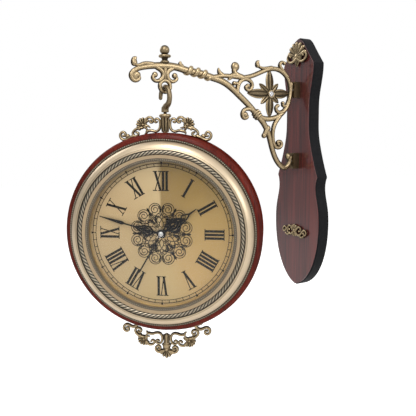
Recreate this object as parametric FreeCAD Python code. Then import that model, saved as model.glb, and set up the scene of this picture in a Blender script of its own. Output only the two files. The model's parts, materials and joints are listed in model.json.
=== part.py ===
import FreeCAD, Part
import math
import os
from FreeCAD import Placement, Rotation, Vector

# Double-sided station clock hung from a scrolled wall bracket, in millimetres.
# The wall is the plane X = 0 and the arm reaches toward -X; Y = 0 is the arm's mid-plane.
# Z = 0 is midway between the board's two hangers.  The clock is built facing -Y round its own centre
# (x right, z up, d outward from the clock's mid-plane) and then hung on the hook.

# Backboard
BOARD_HEIGHT = 386.0
BOARD_THICKNESS = 19.5
FACING_THICKNESS = 1.2
BEVEL_WIDTH = 1.6
BEVEL_DEPTH = 2.0
CROWN_HALF = 24.5
SHOULDER_HALF = 36.2
WAIST_HALF = 27.5
HIP_HALF = 48.4
NOTCH_HALF = 44.9
BELLY_HALF = 53.2

# Keyhole hangers in the board's back
KEYHOLE_SPACING = 240.0
KEYHOLE_DROP = 43.0
KEYHOLE_PLATE_WIDTH = 18.0
KEYHOLE_PLATE_HEIGHT = 44.0
KEYHOLE_PLATE_THICKNESS = 1.2
KEYHOLE_RADIUS = 4.5
KEYHOLE_SLOT_WIDTH = 4.6
KEYHOLE_SLOT_LENGTH = 11.0
KEYHOLE_POCKET_DEPTH = 7.0
KEYHOLE_HEAD_ROOM = 1.5
KEYHOLE_SCREW_MARGIN = 4.5
KEYHOLE_SCREW_RADIUS = 1.5
KEYHOLE_SCREW_LENGTH = 9.0

# Bracket arm: a cast scroll panel in the plane Y = 0, drawn at ARM_DRAWN and stretched to its reach
ARM_REACH = 227.0
ARM_DRAWN = 216.0
ARM_DEPTH = 8.0
ARM_RISE = 27.0
EYE_DROP = 83.3
EYE_WIRE = 5.6
FOOT_LENGTH = 11.0
FOOT_WIDTH = 12.0
FOOT_HEIGHT = 24.0
UPPER_FOOT_V = 4.0
LOWER_FOOT_V = -105.0
FOOT_SCREW_RADIUS = 2.5
FOOT_SCREW_HEAD = 4.5
FOOT_SCREW_HEAD_DEPTH = 4.0
FOOT_SCREW_BITE = 5.0
STEM_WIDTH = 7.4
LOOP_WIDTH = 6.0
SCROLL_WIDTH = 4.6
TENDRIL_WIDTH = 3.4
PETAL_HALF = 5.6
STUD_RADIUS = 4.2
STUD_HEIGHT = 3.0
STUD_SEAT = 1.5
FLOWER_BOSS_RADIUS = 8.0

# Finial on the arm above the eye
FINIAL_BALL = 6.4
FINIAL_DISC = 8.4
FINIAL_NECK = 4.6
FINIAL_BASE = 5.8
FINIAL_BASE_HEIGHT = 2.0
FINIAL_BASE_COVE = 1.4
FINIAL_DISC_HEIGHT = 2.4
FINIAL_DISC_COVE = 1.0
FINIAL_BALL_SEAT = 0.2
FINIAL_RISE = 17.5
FINIAL_PIN_RADIUS = 2.4
FINIAL_PIN_DEPTH = 5.0

# Hook and swivel
HOOK_ROD = 3.4
HOOK_PLAY = 1.4
HOOK_BEND = 14.0
HOOK_THROAT = 11.0
HOOK_TIP_DROP = 3.0
HOOK_TURN_BACK = 75.0
SHANK_RADIUS = 4.8
SHANK_LENGTH = 2.0
NECK_SHOW = 1.6
PIN_RADIUS = 2.4
COLLAR_RADIUS = 6.2
COLLAR_FLANGE = 8.2
COLLAR_FLANGE_HEIGHT = 4.2
COLLAR_HEIGHT = 27.0
COLLAR_FLUTES = 12
COLLAR_FLUTE_RADIUS = 0.8
COLLAR_FOOT = 5.2
COLLAR_FOOT_HEIGHT = 3.6
COLLAR_SEAT = 2.0
NUT_RADIUS = 6.0
NUT_HEIGHT = 5.0

# Drum
RIM_RADIUS = 133.0
RIM_WALL = 14.0
RIM_HALF_DEPTH = 28.0
RIM_ROUND = 8.0
SPOT_FACE = 1.0

# Bezel, glass and dial of each face: widths of the rings going in from the drum's edge, and depths
SKIRT_DEPTH = 12.0
BEZEL_MARGIN = 7.8
BEZEL_LEDGE = 3.0
BEZEL_FLANGE = 1.6
BEZEL_SLOPE = 11.2
BEZEL_BOW = 2.0
BEZEL_HEIGHT = 14.3
BEZEL_WALL = 2.0
BEZEL_LAP = 1.0
ROPE_WIDTH = 6.2
ROPE_SEAT_DEPTH = 2.6
BAND_WIDTH = 4.4
BAND_DROP = 1.0
LIP_WIDTH = 4.4
LIP_THICKNESS = 3.2
LIP_STEP = 1.6
GLASS_HOLD = 2.6
GLASS_EDGE = 2.0
GLASS_SAG = 5.6
PAN_WALL = 1.2
DIAL_THICKNESS = 0.8
DIAL_RECESS = 6.6

# Clock movement: one per face, its back away from the dial
CASE_WALL = 1.2
CASE_CORNER = 4.0
COVER_THICKNESS = 1.2
BATTERY_RADIUS = 7.1
BATTERY_LENGTH = 49.0
BATTERY_END_ROOM = 2.3
BATTERY_TIP = 1.5
BATTERY_TIP_RADIUS = 2.7
BUSH_WALL = 1.32
BUSH_RISE = 2.4
BUSH_NUT_WALL = 1.6
BUSH_NUT_HEIGHT = 1.5
SECOND_ARBOR = 0.6
MINUTE_WALL = 1.02
HOUR_WALL = 0.82
PIVOT_RADIUS = 0.5
PIVOT_SKIN = 0.3
PIVOT_REST = 0.4
KNOB_RADIUS = 4.0
KNOB_HEIGHT = 2.6
WHEEL_THICKNESS = 0.8
WHEEL_GAP = 0.8
FRONT_GAP = 0.6
PINION_THICKNESS = 1.2
MAGNET_LIFT = 1.0
MAGNET_RADIUS = 3.0
MAGNET_LENGTH = 3.0
STATOR_GAP = 0.6
STATOR_RIM = 1.6
STATOR_LEG = 2.5
STATOR_THICKNESS = 1.0
POST_RADIUS = 1.2
COIL_RADIUS = 3.4
COIL_LENGTH = 15.0
CIRCUIT_WIDTH = 20.3
CIRCUIT_HEIGHT = 13.0
CIRCUIT_LOW = 9.0
CIRCUIT_EDGE = 0.5
CIRCUIT_THICKNESS = 1.0

# Tooth counts of the train, from the motor to the hour hand
ROTOR_PINION = 8
RELAY_WHEEL = 48
RELAY_PINION = 10
SECOND_WHEEL = 50
SECOND_PINION = 8
THIRD_WHEEL = 60
THIRD_PINION = 8
MINUTE_WHEEL = 64
CANNON_PINION = 10
MOTION_WHEEL = 30
MOTION_PINION = 8
HOUR_WHEEL = 32
ROTOR_CENTRES = 7.0
RELAY_CENTRES = 11.25
THIRD_CENTRES = 11.0
MOTION_CENTRES = 11.5
ROTOR_BEARING = 120.0
BACKLASH = 0.22

# Hands, set to 1:47:35
TIME_HOURS = 1
TIME_MINUTES = 47
TIME_SECONDS = 35
HOUR_LENGTH = 58.0
MINUTE_LENGTH = 86.0
SECOND_LENGTH = 58.0
SECOND_TAIL = 20.0
HAND_THICKNESS = 0.5
HAND_HUB = 4.0
HAND_STEP = 1.4
HOUR_HAND_LIFT = 1.0
CAP_RADIUS = 2.6
CAP_HEIGHT = 1.4

# Cast crests over and under the drum, and the board's two appliques
CREST_DEPTH = 7.0
CREST_SCROLL = 4.4
CREST_FOOT_ANGLE = 22.0
CREST_FOOT_WIDTH = 9.0
CREST_FOOT_RISE = 6.0
CREST_BAND = 8.0
CREST_BAND_HALF_ANGLE = 21.0
CREST_SCREW_RADIUS = 1.5
CREST_SCREW_HEAD = 3.2
CREST_SCREW_HEAD_HEIGHT = 2.0
CREST_SCREW_BITE = 4.0
APPLIQUE_RELIEF = 5.0
SHELL_DROP = 28.0
SCROLL_RISE = 87.0

# Spacing of the points that carry a scroll's edge
STROKE_STEP = 3.0

# Clearances
RUNNING_FIT = 0.08
SLIDING_FIT = 0.15
HANG_GAP = 0.3

# Turn of the clock on its hook
CLOCK_TURN = -36.6

# Places that follow from the sizes
BOARD_FRONT = -BOARD_THICKNESS
BOARD_TOP = KEYHOLE_SPACING / 2 + KEYHOLE_DROP
BOARD_LOW = BOARD_TOP - BOARD_HEIGHT
KEYHOLE_SCREW_OFFSET = KEYHOLE_PLATE_HEIGHT / 2 - KEYHOLE_SCREW_MARGIN
SHELL_Z = BOARD_TOP - SHELL_DROP
SCROLL_Z = BOARD_LOW + SCROLL_RISE
EYE_X = BOARD_FRONT - ARM_REACH
EYE_Z = BOARD_TOP - EYE_DROP
EYE_HOLE = HOOK_ROD + HOOK_PLAY
EYE_RING = EYE_HOLE + EYE_WIRE / 2
PAD_U = ARM_REACH - FOOT_LENGTH
ARM_TOP = EYE_Z + ARM_RISE + STEM_WIDTH / 2
HOOK_APEX = HANG_GAP - HOOK_PLAY
COLLAR_BORE = PIN_RADIUS + RUNNING_FIT
RIM_BORE = RIM_RADIUS - RIM_WALL
BEZEL_OUTER = RIM_RADIUS - BEZEL_MARGIN
BEZEL_FOOT = BEZEL_OUTER - BEZEL_LEDGE
BEZEL_TOP_RADIUS = BEZEL_FOOT - BEZEL_SLOPE
ROPE_INNER = BEZEL_TOP_RADIUS - ROPE_WIDTH
BAND_INNER = ROPE_INNER - BAND_WIDTH
LIP_RADIUS = BAND_INNER - LIP_WIDTH
GLASS_RADIUS = LIP_RADIUS + GLASS_HOLD
FACE_D = RIM_HALF_DEPTH + BEZEL_HEIGHT
LIP_TOP_D = FACE_D - LIP_STEP
GLASS_D = LIP_TOP_D - LIP_THICKNESS
DIAL_D = GLASS_D - GLASS_EDGE - DIAL_RECESS
DIAL_BACK_D = DIAL_D - DIAL_THICKNESS
MINUTE_BORE = SECOND_ARBOR + RUNNING_FIT
MINUTE_TUBE = MINUTE_BORE + MINUTE_WALL
HOUR_BORE = MINUTE_TUBE + RUNNING_FIT
HOUR_TUBE = HOUR_BORE + HOUR_WALL
BUSH_BORE = HOUR_TUBE + RUNNING_FIT
BUSH_RADIUS = BUSH_BORE + BUSH_WALL
BUSH_NUT = BUSH_RADIUS + BUSH_NUT_WALL
PIVOT_BORE = PIVOT_RADIUS + RUNNING_FIT
MOVEMENT_SIZE = BATTERY_LENGTH + 2 * (BATTERY_END_ROOM + CASE_WALL)
MOVEMENT_DEPTH = CASE_WALL + 2 * (BATTERY_RADIUS + HANG_GAP)


# Plane outlines, drawn in (x, z) on the plane y = 0 and thickened along Y

def flat(points):
    """Turn (x, z) pairs into points on the plane y = 0."""
    return [Vector(x, 0, z) for x, z in points]


def thicken(edges, depth):
    """Close edges into a face on y = 0 and thicken it evenly to both sides."""
    face = Part.Face(Part.Wire(Part.__sortEdges__(edges)))
    face.translate(Vector(0, -depth / 2, 0))
    return face.extrude(Vector(0, depth, 0))


def smooth(points):
    """A smooth curve through points on the plane y = 0."""
    curve = Part.BSplineCurve()
    curve.interpolate(points)
    return curve


def disc(x, z, radius, depth):
    """A round button whose axis lies along Y."""
    return Part.makeCylinder(radius, depth, Vector(x, -depth / 2, z), Vector(0, 1, 0))


def stroke(points, width_start, width_end, depth, end_disc=0.0):
    """A scroll stroke: a tapered band along a smooth curve, rounded or with a button at its end."""
    curve = smooth(flat(points))
    steps = max(4 * (len(points) - 1), round(curve.length() / STROKE_STEP))
    sides = ([], [])
    for step in range(steps + 1):
        t = curve.FirstParameter + (curve.LastParameter - curve.FirstParameter) * step / steps
        along = curve.tangent(t)[0]
        half = (width_start + (width_end - width_start) * step / steps) / 2
        across = Vector(-along.z, 0, along.x) * half
        sides[0].append(curve.value(t) + across)
        sides[1].append(curve.value(t) - across)
    nose = curve.value(curve.LastParameter) + along * (width_end / 2)
    edges = [smooth(sides[0]).toShape(), Part.Arc(sides[0][-1], nose, sides[1][-1]).toShape(),
             smooth(sides[1]).toShape(), Part.makeLine(sides[0][0], sides[1][0])]
    solids = [thicken(edges, depth)]
    if end_disc > width_end / 2:
        solids.append(disc(points[-1][0], points[-1][1], end_disc, depth))
    return solids


def drop(start, end, radius_start, radius_end, depth):
    """A straight lobe: two circles joined by their outer tangents."""
    first = Vector(start[0], 0, start[1])
    second = Vector(end[0], 0, end[1])
    run = second - first
    heading = math.atan2(run.z, run.x)
    lean = math.acos((radius_start - radius_end) / run.Length)

    def on(centre, radius, angle):
        return centre + Vector(radius * math.cos(angle), 0, radius * math.sin(angle))

    a0 = on(first, radius_start, heading + lean)
    a1 = on(second, radius_end, heading + lean)
    b0 = on(first, radius_start, heading - lean)
    b1 = on(second, radius_end, heading - lean)
    nose = Part.Arc(a1, on(second, radius_end, heading), b1).toShape()
    tail = Part.Arc(b0, on(first, radius_start, heading + math.pi), a0).toShape()
    return thicken([Part.makeLine(a0, a1), nose, Part.makeLine(b1, b0), tail], depth)


def petal(start, end, half_width, depth):
    """A pointed leaf between two tips, bounded by two arcs."""
    first = Vector(start[0], 0, start[1])
    second = Vector(end[0], 0, end[1])
    run = second - first
    across = Vector(-run.z, 0, run.x).normalize() * half_width
    middle = (first + second) * 0.5
    one = Part.Arc(first, middle + across, second).toShape()
    two = Part.Arc(second, middle - across, first).toShape()
    return thicken([one, two], depth)


def fan(x, z, reach, heading, spread, lobes, depth):
    """A shell of round-ended lobes spread about a heading in degrees."""
    tip = reach * math.radians(spread) / (2 * (lobes - 1)) * 1.1
    solids = [disc(x, z, reach * 0.3, depth)]
    for lobe in range(lobes):
        angle = math.radians(heading + spread * (lobe / (lobes - 1) - 0.5))
        far = reach - tip
        end = (x + far * math.cos(angle), z + far * math.sin(angle))
        solids.append(drop((x, z), end, tip * 0.4, tip, depth))
    return solids


def box(x0, x1, z0, z1, depth):
    """A rectangle on the drawing, thickened along Y."""
    return Part.makeBox(x1 - x0, depth, z1 - z0, Vector(x0, -depth / 2, z0))


def join(solids):
    """Fuse solids into one shape without seams between flush faces."""
    return solids[0].fuse(solids[1:]).removeSplitter()


def mirrored(shape):
    """The shape's mirror image across the plane x = 0."""
    return shape.mirror(Vector(0, 0, 0), Vector(1, 0, 0))


def turned(profile):
    """Turn a closed (radius, depth) outline round the clock's axis; depth points to -Y."""
    points = [Vector(radius, -depth, 0) for radius, depth in profile]
    wire = Part.makePolygon(points + points[:1])
    return Part.Face(wire).revolve(Vector(0, 0, 0), Vector(0, 1, 0), 360)


def lathe_z(profile, x=0.0, z=0.0):
    """Turn a closed (radius, height) outline round a vertical axis through (x, z)."""
    points = [Vector(radius, 0, height) for radius, height in profile]
    face = Part.Face(Part.makePolygon(points + points[:1]))
    solid = face.revolve(Vector(0, 0, 0), Vector(0, 0, 1), 360)
    solid.translate(Vector(x, 0, z))
    return solid


def slab(x0, x1, z0, z1, d0, d1):
    """A block between two depths of the clock."""
    return Part.makeBox(x1 - x0, d1 - d0, z1 - z0, Vector(x0, -d1, z0))


def rod(x, z, radius, d0, d1):
    """A round bar along the clock's axis between two depths."""
    return Part.makeCylinder(radius, d1 - d0, Vector(x, -d1, z), Vector(0, 1, 0))


# Wall side

def board_outline(inset, x):
    """The board's outline on the plane X = x, drawn in by an inset."""
    def at(half, share):
        return (half - inset, BOARD_TOP - BOARD_HEIGHT * share)

    crown = [(0.0, BOARD_TOP - inset), (5.0 - inset / 2, BOARD_TOP - 1.7 - inset), at(10.4, 0.016), at(17.2, 0.039),
             at(CROWN_HALF, 0.065), at(30.6, 0.086), at(SHOULDER_HALF, 0.105)]
    flank = [at(SHOULDER_HALF, 0.105), at(34.4, 0.157), at(30.7, 0.202), at(WAIST_HALF + 0.6, 0.240),
             at(WAIST_HALF, 0.300), at(28.7, 0.385), at(33.2, 0.437), at(38.9, 0.485), at(HIP_HALF, 0.550)]
    belly = [at(HIP_HALF, 0.550), at(NOTCH_HALF, 0.602), at(51.0, 0.671), at(BELLY_HALF, 0.742),
             at(48.6, 0.839), at(40.0, 0.902), at(29.4, 0.946), at(16.5, 0.978), (0.0, BOARD_LOW + inset)]
    edges = []
    for side in (1, -1):
        for run in (crown, flank, belly):
            points = [Vector(x, side * half, z) for half, z in run]
            edges.append(smooth(points).toShape())
    return Part.Wire(Part.__sortEdges__(edges))


def backboard():
    """Board core: square-edged body and a bevel running in to the facing."""
    bevel_back = BOARD_FRONT + FACING_THICKNESS + BEVEL_DEPTH
    bevel_front = BOARD_FRONT + FACING_THICKNESS
    body = Part.Face(board_outline(0.0, 0.0)).extrude(Vector(bevel_back, 0, 0))
    bevel = Part.makeLoft([board_outline(0.0, bevel_back), board_outline(BEVEL_WIDTH, bevel_front)],
                          True, True)
    return body.fuse(bevel)


def board_facing():
    """Veneered face of the board, inside the bevel."""
    face = Part.Face(board_outline(BEVEL_WIDTH, BOARD_FRONT))
    return face.extrude(Vector(FACING_THICKNESS, 0, 0))


def keyhole_centres():
    """Heights of the two hangers' round holes."""
    return [KEYHOLE_SPACING / 2, -KEYHOLE_SPACING / 2]


def bar_x(y, z, radius, x0, x1):
    """A round bar along X."""
    return Part.makeCylinder(radius, x1 - x0, Vector(x0, y, z), Vector(1, 0, 0))


def keyhole_opening(z, x0, x1, head, slot):
    """Round hole with a narrower slot running up from it."""
    stem = Part.makeBox(x1 - x0, 2 * slot, KEYHOLE_SLOT_LENGTH, Vector(x0, -slot, z))
    top = bar_x(0.0, z + KEYHOLE_SLOT_LENGTH, slot, x0, x1)
    return bar_x(0.0, z, head, x0, x1).fuse([stem, top])


def keyhole_blank(z):
    """Outline of one hanger plate, let in at the board's back."""
    corner = Vector(-KEYHOLE_PLATE_THICKNESS, -KEYHOLE_PLATE_WIDTH / 2, z - KEYHOLE_PLATE_HEIGHT / 2)
    return Part.makeBox(KEYHOLE_PLATE_THICKNESS, KEYHOLE_PLATE_WIDTH, KEYHOLE_PLATE_HEIGHT, corner)


def keyhole_plate(z):
    """Steel hanger plate let in flush with the board's back."""
    opening = keyhole_opening(z, -KEYHOLE_PLATE_THICKNESS, 0.0, KEYHOLE_RADIUS, KEYHOLE_SLOT_WIDTH / 2)
    return keyhole_blank(z).cut([opening] + keyhole_screws(z))


def keyhole_screws(z):
    """The two screws of one hanger, flush with its plate."""
    heights = [z + side * KEYHOLE_SCREW_OFFSET for side in (1, -1)]
    return [bar_x(0.0, height, KEYHOLE_SCREW_RADIUS, -KEYHOLE_SCREW_LENGTH, 0.0) for height in heights]


def foot_heights():
    """Heights of the bracket's two feet."""
    return [EYE_Z + UPPER_FOOT_V, EYE_Z + LOWER_FOOT_V]


def bracket_foot(z):
    """Square standoff between the board and the casting."""
    block = Part.makeBox(FOOT_LENGTH, FOOT_WIDTH, FOOT_HEIGHT,
                         Vector(BOARD_FRONT - FOOT_LENGTH, -FOOT_WIDTH / 2, z - FOOT_HEIGHT / 2))
    return block.cut(bar_x(0.0, z, FOOT_SCREW_RADIUS, BOARD_FRONT - FOOT_LENGTH, BOARD_FRONT))


def foot_screw(z):
    """Machine screw from the board's back through the foot into the casting."""
    head = bar_x(0.0, z, FOOT_SCREW_HEAD, -FOOT_SCREW_HEAD_DEPTH, 0.0)
    tip = BOARD_FRONT - FOOT_LENGTH - FOOT_SCREW_BITE
    return head.fuse(bar_x(0.0, z, FOOT_SCREW_RADIUS, tip, -FOOT_SCREW_HEAD_DEPTH))


def arm(points):
    """Bracket drawing: u from the eye toward the wall, v up from the eye."""
    stretch = PAD_U / ARM_DRAWN
    return [(u * stretch, v) for u, v in points]


def bracket_arm():
    """Cast scroll panel with its eye ring, flower and two pads, built round the eye."""
    deep = ARM_DEPTH
    full = STEM_WIDTH
    curl = SCROLL_WIDTH
    fine = TENDRIL_WIDTH
    runs = [
        ([(5, ARM_RISE), (-17, 26), (-31, 23.5), (-43, 19), (-48.5, 12), (-43, 5.5), (-37, 9), (-39.5, 13)],
         full, fine, 3.2),
        ([(-18, 28), (-32, 28), (-42, 26), (-46.5, 30), (-42, 36)], curl, fine * 0.6, 0.0),
        ([(-11, 24), (-3, 17), (-4, 11), (-9, 7), (-15, 7), (-18, 11), (-15, 15)], curl, fine, 2.4),
        ([(11, 24), (4, 18), (3.5, 13), (7, 8), (13, 7), (17.5, 11), (15, 15)], curl, fine, 2.4),
        ([(36, 23), (27, 26), (23, 30), (24, 35)], curl, fine * 0.5, 0.0),
        ([(0, ARM_RISE), (18, 26), (34, 22.5), (54, 20), (72, 15.5), (89, 11), (107, 1), (120, -9),
          (135, -21), (150, -35), (162, -47), (171, -62), (176, -77), (183, -96), (192, -109),
          (203, -115), (211, -110), (212, -102), (206.5, -98)],
         full, curl, 3.4),
        ([(73, 15.5), (87, 18.2), (104, 18.8), (123, 18), (140, 21), (158, 28), (176, 33.5), (192, 32),
          (205, 23), (211.5, 9), (211.5, -6), (205, -23), (193, -35), (177, -40.5), (161, -40),
          (150, -35)], curl, LOOP_WIDTH, 0.0),
        ([(123, 18), (114, 22), (110, 28), (112.5, 34)], LOOP_WIDTH, curl, 5.4),
        ([(176, 35), (164, 33.5), (155, 34.5), (150.5, 38), (152, 43)], curl, fine * 0.6, 0.0),
        ([(206, 23), (195, 34), (191.5, 40), (195.5, 44.5), (200, 43)], curl, fine, 2.2),
        ([(115, -6), (115.5, 5), (120, 12), (129, 15), (138, 11.5), (140, 5), (135, 3)], curl, fine, 3.2),
        ([(117, 6), (114, 9), (110, 9)], curl, fine, 2.4),
        ([(208, -17), (201, -27), (192, -30), (186, -27.5), (187.5, -22)], curl, fine, 2.4),
        ([(208, -14), (203, -21), (197, -19)], curl, fine, 2.2),
        ([(150, -34), (137, -26.5), (129, -29), (125.5, -35), (129, -39)], curl, fine, 2.8),
        ([(172, -58), (168, -63), (161, -66.5)], curl, fine * 0.5, 0.0),
        ([(192, -37), (183, -49), (179.5, -62), (181.5, -74), (188, -82.5), (196, -81), (195, -74.5)],
         curl, fine, 3.4),
    ]
    solids = []
    for points, wide, narrow, end in runs:
        solids += stroke(arm(points), wide, narrow, deep, end)
    leaves = [((-45, 29), (-42.5, 37), 3.4), ((25, 29), (23, 36), 2.8), ((90, 19), (83.5, 29), 3.0),
              ((150.5, 37), (152.5, 44), 2.8), ((167, -62), (160.5, -67), 2.8)]
    for base, tip, half in leaves:
        low, high = arm([base, tip])
        solids.append(drop(low, high, half, half * 0.35, deep))
    for u, v in arm([(39, 22), (47, 21.4), (56, 19.6), (65, 17)]):
        solids.append(drop((u - 1.6, v - 4.6), (u + 1.6, v + 4.6), 2.3, 2.3, deep))
    snail = arm([(-42.5, 12)])[0]
    solids.append(disc(snail[0], snail[1], 6.2, deep))
    knot = arm([(150, -35)])[0]
    solids.append(disc(knot[0], knot[1], full, deep))
    solids.append(box(-full / 2, full / 2, EYE_RING, ARM_RISE, EYE_WIRE))
    solids += flower()
    for v, height in ((UPPER_FOOT_V, FOOT_HEIGHT), (LOWER_FOOT_V, FOOT_HEIGHT * 0.7)):
        solids.append(box(PAD_U - LOOP_WIDTH, PAD_U, v - height / 2, v + height / 2, deep))
    ring = Part.makeTorus(EYE_RING, EYE_WIRE / 2, Vector(0, 0, 0), Vector(0, 1, 0))
    casting = join(solids + [ring])
    casting.translate(Vector(EYE_X, 0, EYE_Z))
    pin_low = Vector(EYE_X, 0, ARM_TOP - FINIAL_PIN_DEPTH)
    cuts = [Part.makeCylinder(FINIAL_PIN_RADIUS, FINIAL_PIN_DEPTH, pin_low),
            Part.makeCylinder(FINIAL_BASE, FINIAL_RISE, Vector(EYE_X, 0, ARM_TOP))]
    pad_x = BOARD_FRONT - FOOT_LENGTH
    for z in foot_heights():
        cuts.append(bar_x(0.0, z, FOOT_SCREW_RADIUS, pad_x - FOOT_SCREW_BITE, pad_x))
    return casting.cut(cuts + flower_studs())


FLOWER_U, FLOWER_V = arm([(174, -4)])[0]


def flower():
    """Four long petals, four short ones and a boss, inside the bracket's loop."""
    solids = [disc(FLOWER_U, FLOWER_V, FLOWER_BOSS_RADIUS, ARM_DEPTH)]
    for tip in arm([(133, -4), (210, -2), (172, 32), (173, -39)]):
        solids.append(petal((FLOWER_U, FLOWER_V), tip, PETAL_HALF, ARM_DEPTH))
    for tip in arm([(155, 10), (188, 11), (158, -18), (189, -16)]):
        solids.append(petal((FLOWER_U, FLOWER_V), tip, PETAL_HALF * 0.6, ARM_DEPTH))
    return solids


def flower_studs():
    """Cut-glass studs, one on each side of the flower's boss."""
    studs = []
    for side in (1, -1):
        seat = ARM_DEPTH / 2 - STUD_SEAT
        base = Vector(EYE_X + FLOWER_U, side * seat, EYE_Z + FLOWER_V)
        girdle = Part.makeCylinder(STUD_RADIUS, STUD_SEAT, base, Vector(0, side, 0))
        crown_base = base + Vector(0, side * STUD_SEAT, 0)
        crown = Part.makeCone(STUD_RADIUS, STUD_RADIUS * 0.5, STUD_HEIGHT - STUD_SEAT, crown_base,
                              Vector(0, side, 0))
        studs.append(girdle.fuse(crown).removeSplitter())
    return studs


def finial():
    """Turned finial: base ring, neck, disc and ball, with a pin in the arm."""
    crown = FINIAL_RISE - FINIAL_BALL + FINIAL_BALL_SEAT
    disc_top = crown - FINIAL_DISC_COVE
    disc_low = disc_top - FINIAL_DISC_HEIGHT
    profile = [(0, -FINIAL_PIN_DEPTH), (FINIAL_PIN_RADIUS, -FINIAL_PIN_DEPTH), (FINIAL_PIN_RADIUS, 0),
               (FINIAL_BASE, 0), (FINIAL_BASE, FINIAL_BASE_HEIGHT),
               (FINIAL_NECK, FINIAL_BASE_HEIGHT + FINIAL_BASE_COVE), (FINIAL_NECK, disc_low),
               (FINIAL_DISC, disc_low), (FINIAL_DISC, disc_top), (FINIAL_NECK, crown), (0, crown)]
    body = lathe_z(profile, EYE_X, ARM_TOP)
    ball = Part.makeSphere(FINIAL_BALL, Vector(EYE_X, 0, ARM_TOP + FINIAL_RISE))
    return body.fuse(ball).removeSplitter()


def applique(solids, z):
    """Stand a relief drawn in (y, z) on the board's front at a height."""
    relief = join(solids)
    relief.rotate(Vector(0, 0, 0), Vector(0, 0, 1), -90)
    relief.translate(Vector(BOARD_FRONT - APPLIQUE_RELIEF / 2, 0, z))
    return relief


def shell_applique():
    """Shell with two side scrolls and a pendant leaf."""
    deep = APPLIQUE_RELIEF
    solids = fan(0, 0, 22, 90, 150, 7, deep)
    curl = join(stroke([(0, -3), (10, -8), (18, -7), (22.5, -1), (19, 4), (15, 1)], 5, 3, deep, 2.6))
    solids += [curl, mirrored(curl), petal((0, 2), (0, -16), 4.5, deep)]
    return applique(solids, SHELL_Z)


def scroll_applique():
    """Pair of C-scrolls about a small palmette."""
    deep = APPLIQUE_RELIEF
    solids = fan(0, 3, 13, -90, 130, 5, deep)
    curl = join(stroke([(0, 3), (9, 7.5), (20, 7), (26.5, 0.5), (22, -5), (17, -1)], 5, 3, deep, 2.8))
    solids += [curl, mirrored(curl)]
    return applique(solids, SCROLL_Z)


# Hook, collar and drum

HOOK_CENTRE_V = HOOK_APEX - HOOK_BEND
TURN_BACK = math.radians(HOOK_TURN_BACK)
HOOK_RETURN = (HOOK_BEND - HOOK_THROAT + HOOK_THROAT * math.cos(TURN_BACK)) / (1 - math.cos(TURN_BACK))
SHANK_TOP_V = HOOK_CENTRE_V - (HOOK_THROAT + HOOK_RETURN) * math.sin(TURN_BACK)
SHANK_LOW_V = SHANK_TOP_V - SHANK_LENGTH
COLLAR_TOP_V = SHANK_LOW_V - NECK_SHOW
CLOCK_Z = EYE_Z + COLLAR_TOP_V - COLLAR_HEIGHT + COLLAR_SEAT - RIM_RADIUS
NUT_SEAT = RIM_BORE + SPOT_FACE
PIN_END = NUT_SEAT - HANG_GAP - NUT_HEIGHT


def hook():
    """Question-mark hook through the eye, its shank drawn down to the swivel pin."""
    def at(y, v):
        return Vector(EYE_X, y, EYE_Z + v)

    def arc(y, v, radius, start, end):
        angles = [math.radians(start + (end - start) * part) for part in (0, 0.5, 1)]
        return Part.Arc(*[at(y + radius * math.cos(a), v + radius * math.sin(a)) for a in angles]).toShape()

    tip = Part.makeLine(at(HOOK_BEND, HOOK_CENTRE_V - HOOK_TIP_DROP), at(HOOK_BEND, HOOK_CENTRE_V))
    bend = arc(0, HOOK_CENTRE_V, HOOK_BEND, 0, 180)
    throat = arc(HOOK_THROAT - HOOK_BEND, HOOK_CENTRE_V, HOOK_THROAT, 180, 180 + HOOK_TURN_BACK)
    back = arc(-HOOK_RETURN, SHANK_TOP_V, HOOK_RETURN, HOOK_TURN_BACK, 0)
    path = Part.Wire([tip, bend, throat, back])
    section = Part.Wire(Part.makeCircle(HOOK_ROD, at(HOOK_BEND, HOOK_CENTRE_V - HOOK_TIP_DROP)))
    bent = path.makePipeShell([section], True, True)
    nose = Part.makeSphere(HOOK_ROD, at(HOOK_BEND, HOOK_CENTRE_V - HOOK_TIP_DROP))
    shank = Part.makeCone(SHANK_RADIUS, HOOK_ROD, SHANK_LENGTH, at(0, SHANK_LOW_V))
    pin_low = CLOCK_Z + PIN_END
    pin = Part.makeCylinder(PIN_RADIUS, EYE_Z + SHANK_LOW_V - pin_low, Vector(EYE_X, 0, pin_low))
    return bent.fuse([nose, shank, pin]).removeSplitter()


def swivel_nut():
    """Round nut on the pin's end inside the drum, which carries the clock."""
    body = Part.makeCylinder(NUT_RADIUS, NUT_HEIGHT, Vector(EYE_X, 0, CLOCK_Z + PIN_END))
    return body.cut(Part.makeCylinder(PIN_RADIUS, NUT_HEIGHT, Vector(EYE_X, 0, CLOCK_Z + PIN_END)))


COLLAR_LOW = RIM_RADIUS - COLLAR_SEAT


def collar_blank():
    """Collar before its flutes: foot, round body and flange, bored for the pin."""
    top = COLLAR_LOW + COLLAR_HEIGHT
    body_low = COLLAR_LOW + COLLAR_FOOT_HEIGHT
    return lathe_z([(COLLAR_BORE, COLLAR_LOW), (COLLAR_FOOT, COLLAR_LOW), (COLLAR_FOOT, body_low),
                    (COLLAR_RADIUS, body_low), (COLLAR_RADIUS, top - COLLAR_FLANGE_HEIGHT),
                    (COLLAR_FLANGE, top - COLLAR_FLANGE_HEIGHT), (COLLAR_FLANGE, top), (COLLAR_BORE, top)])


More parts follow.
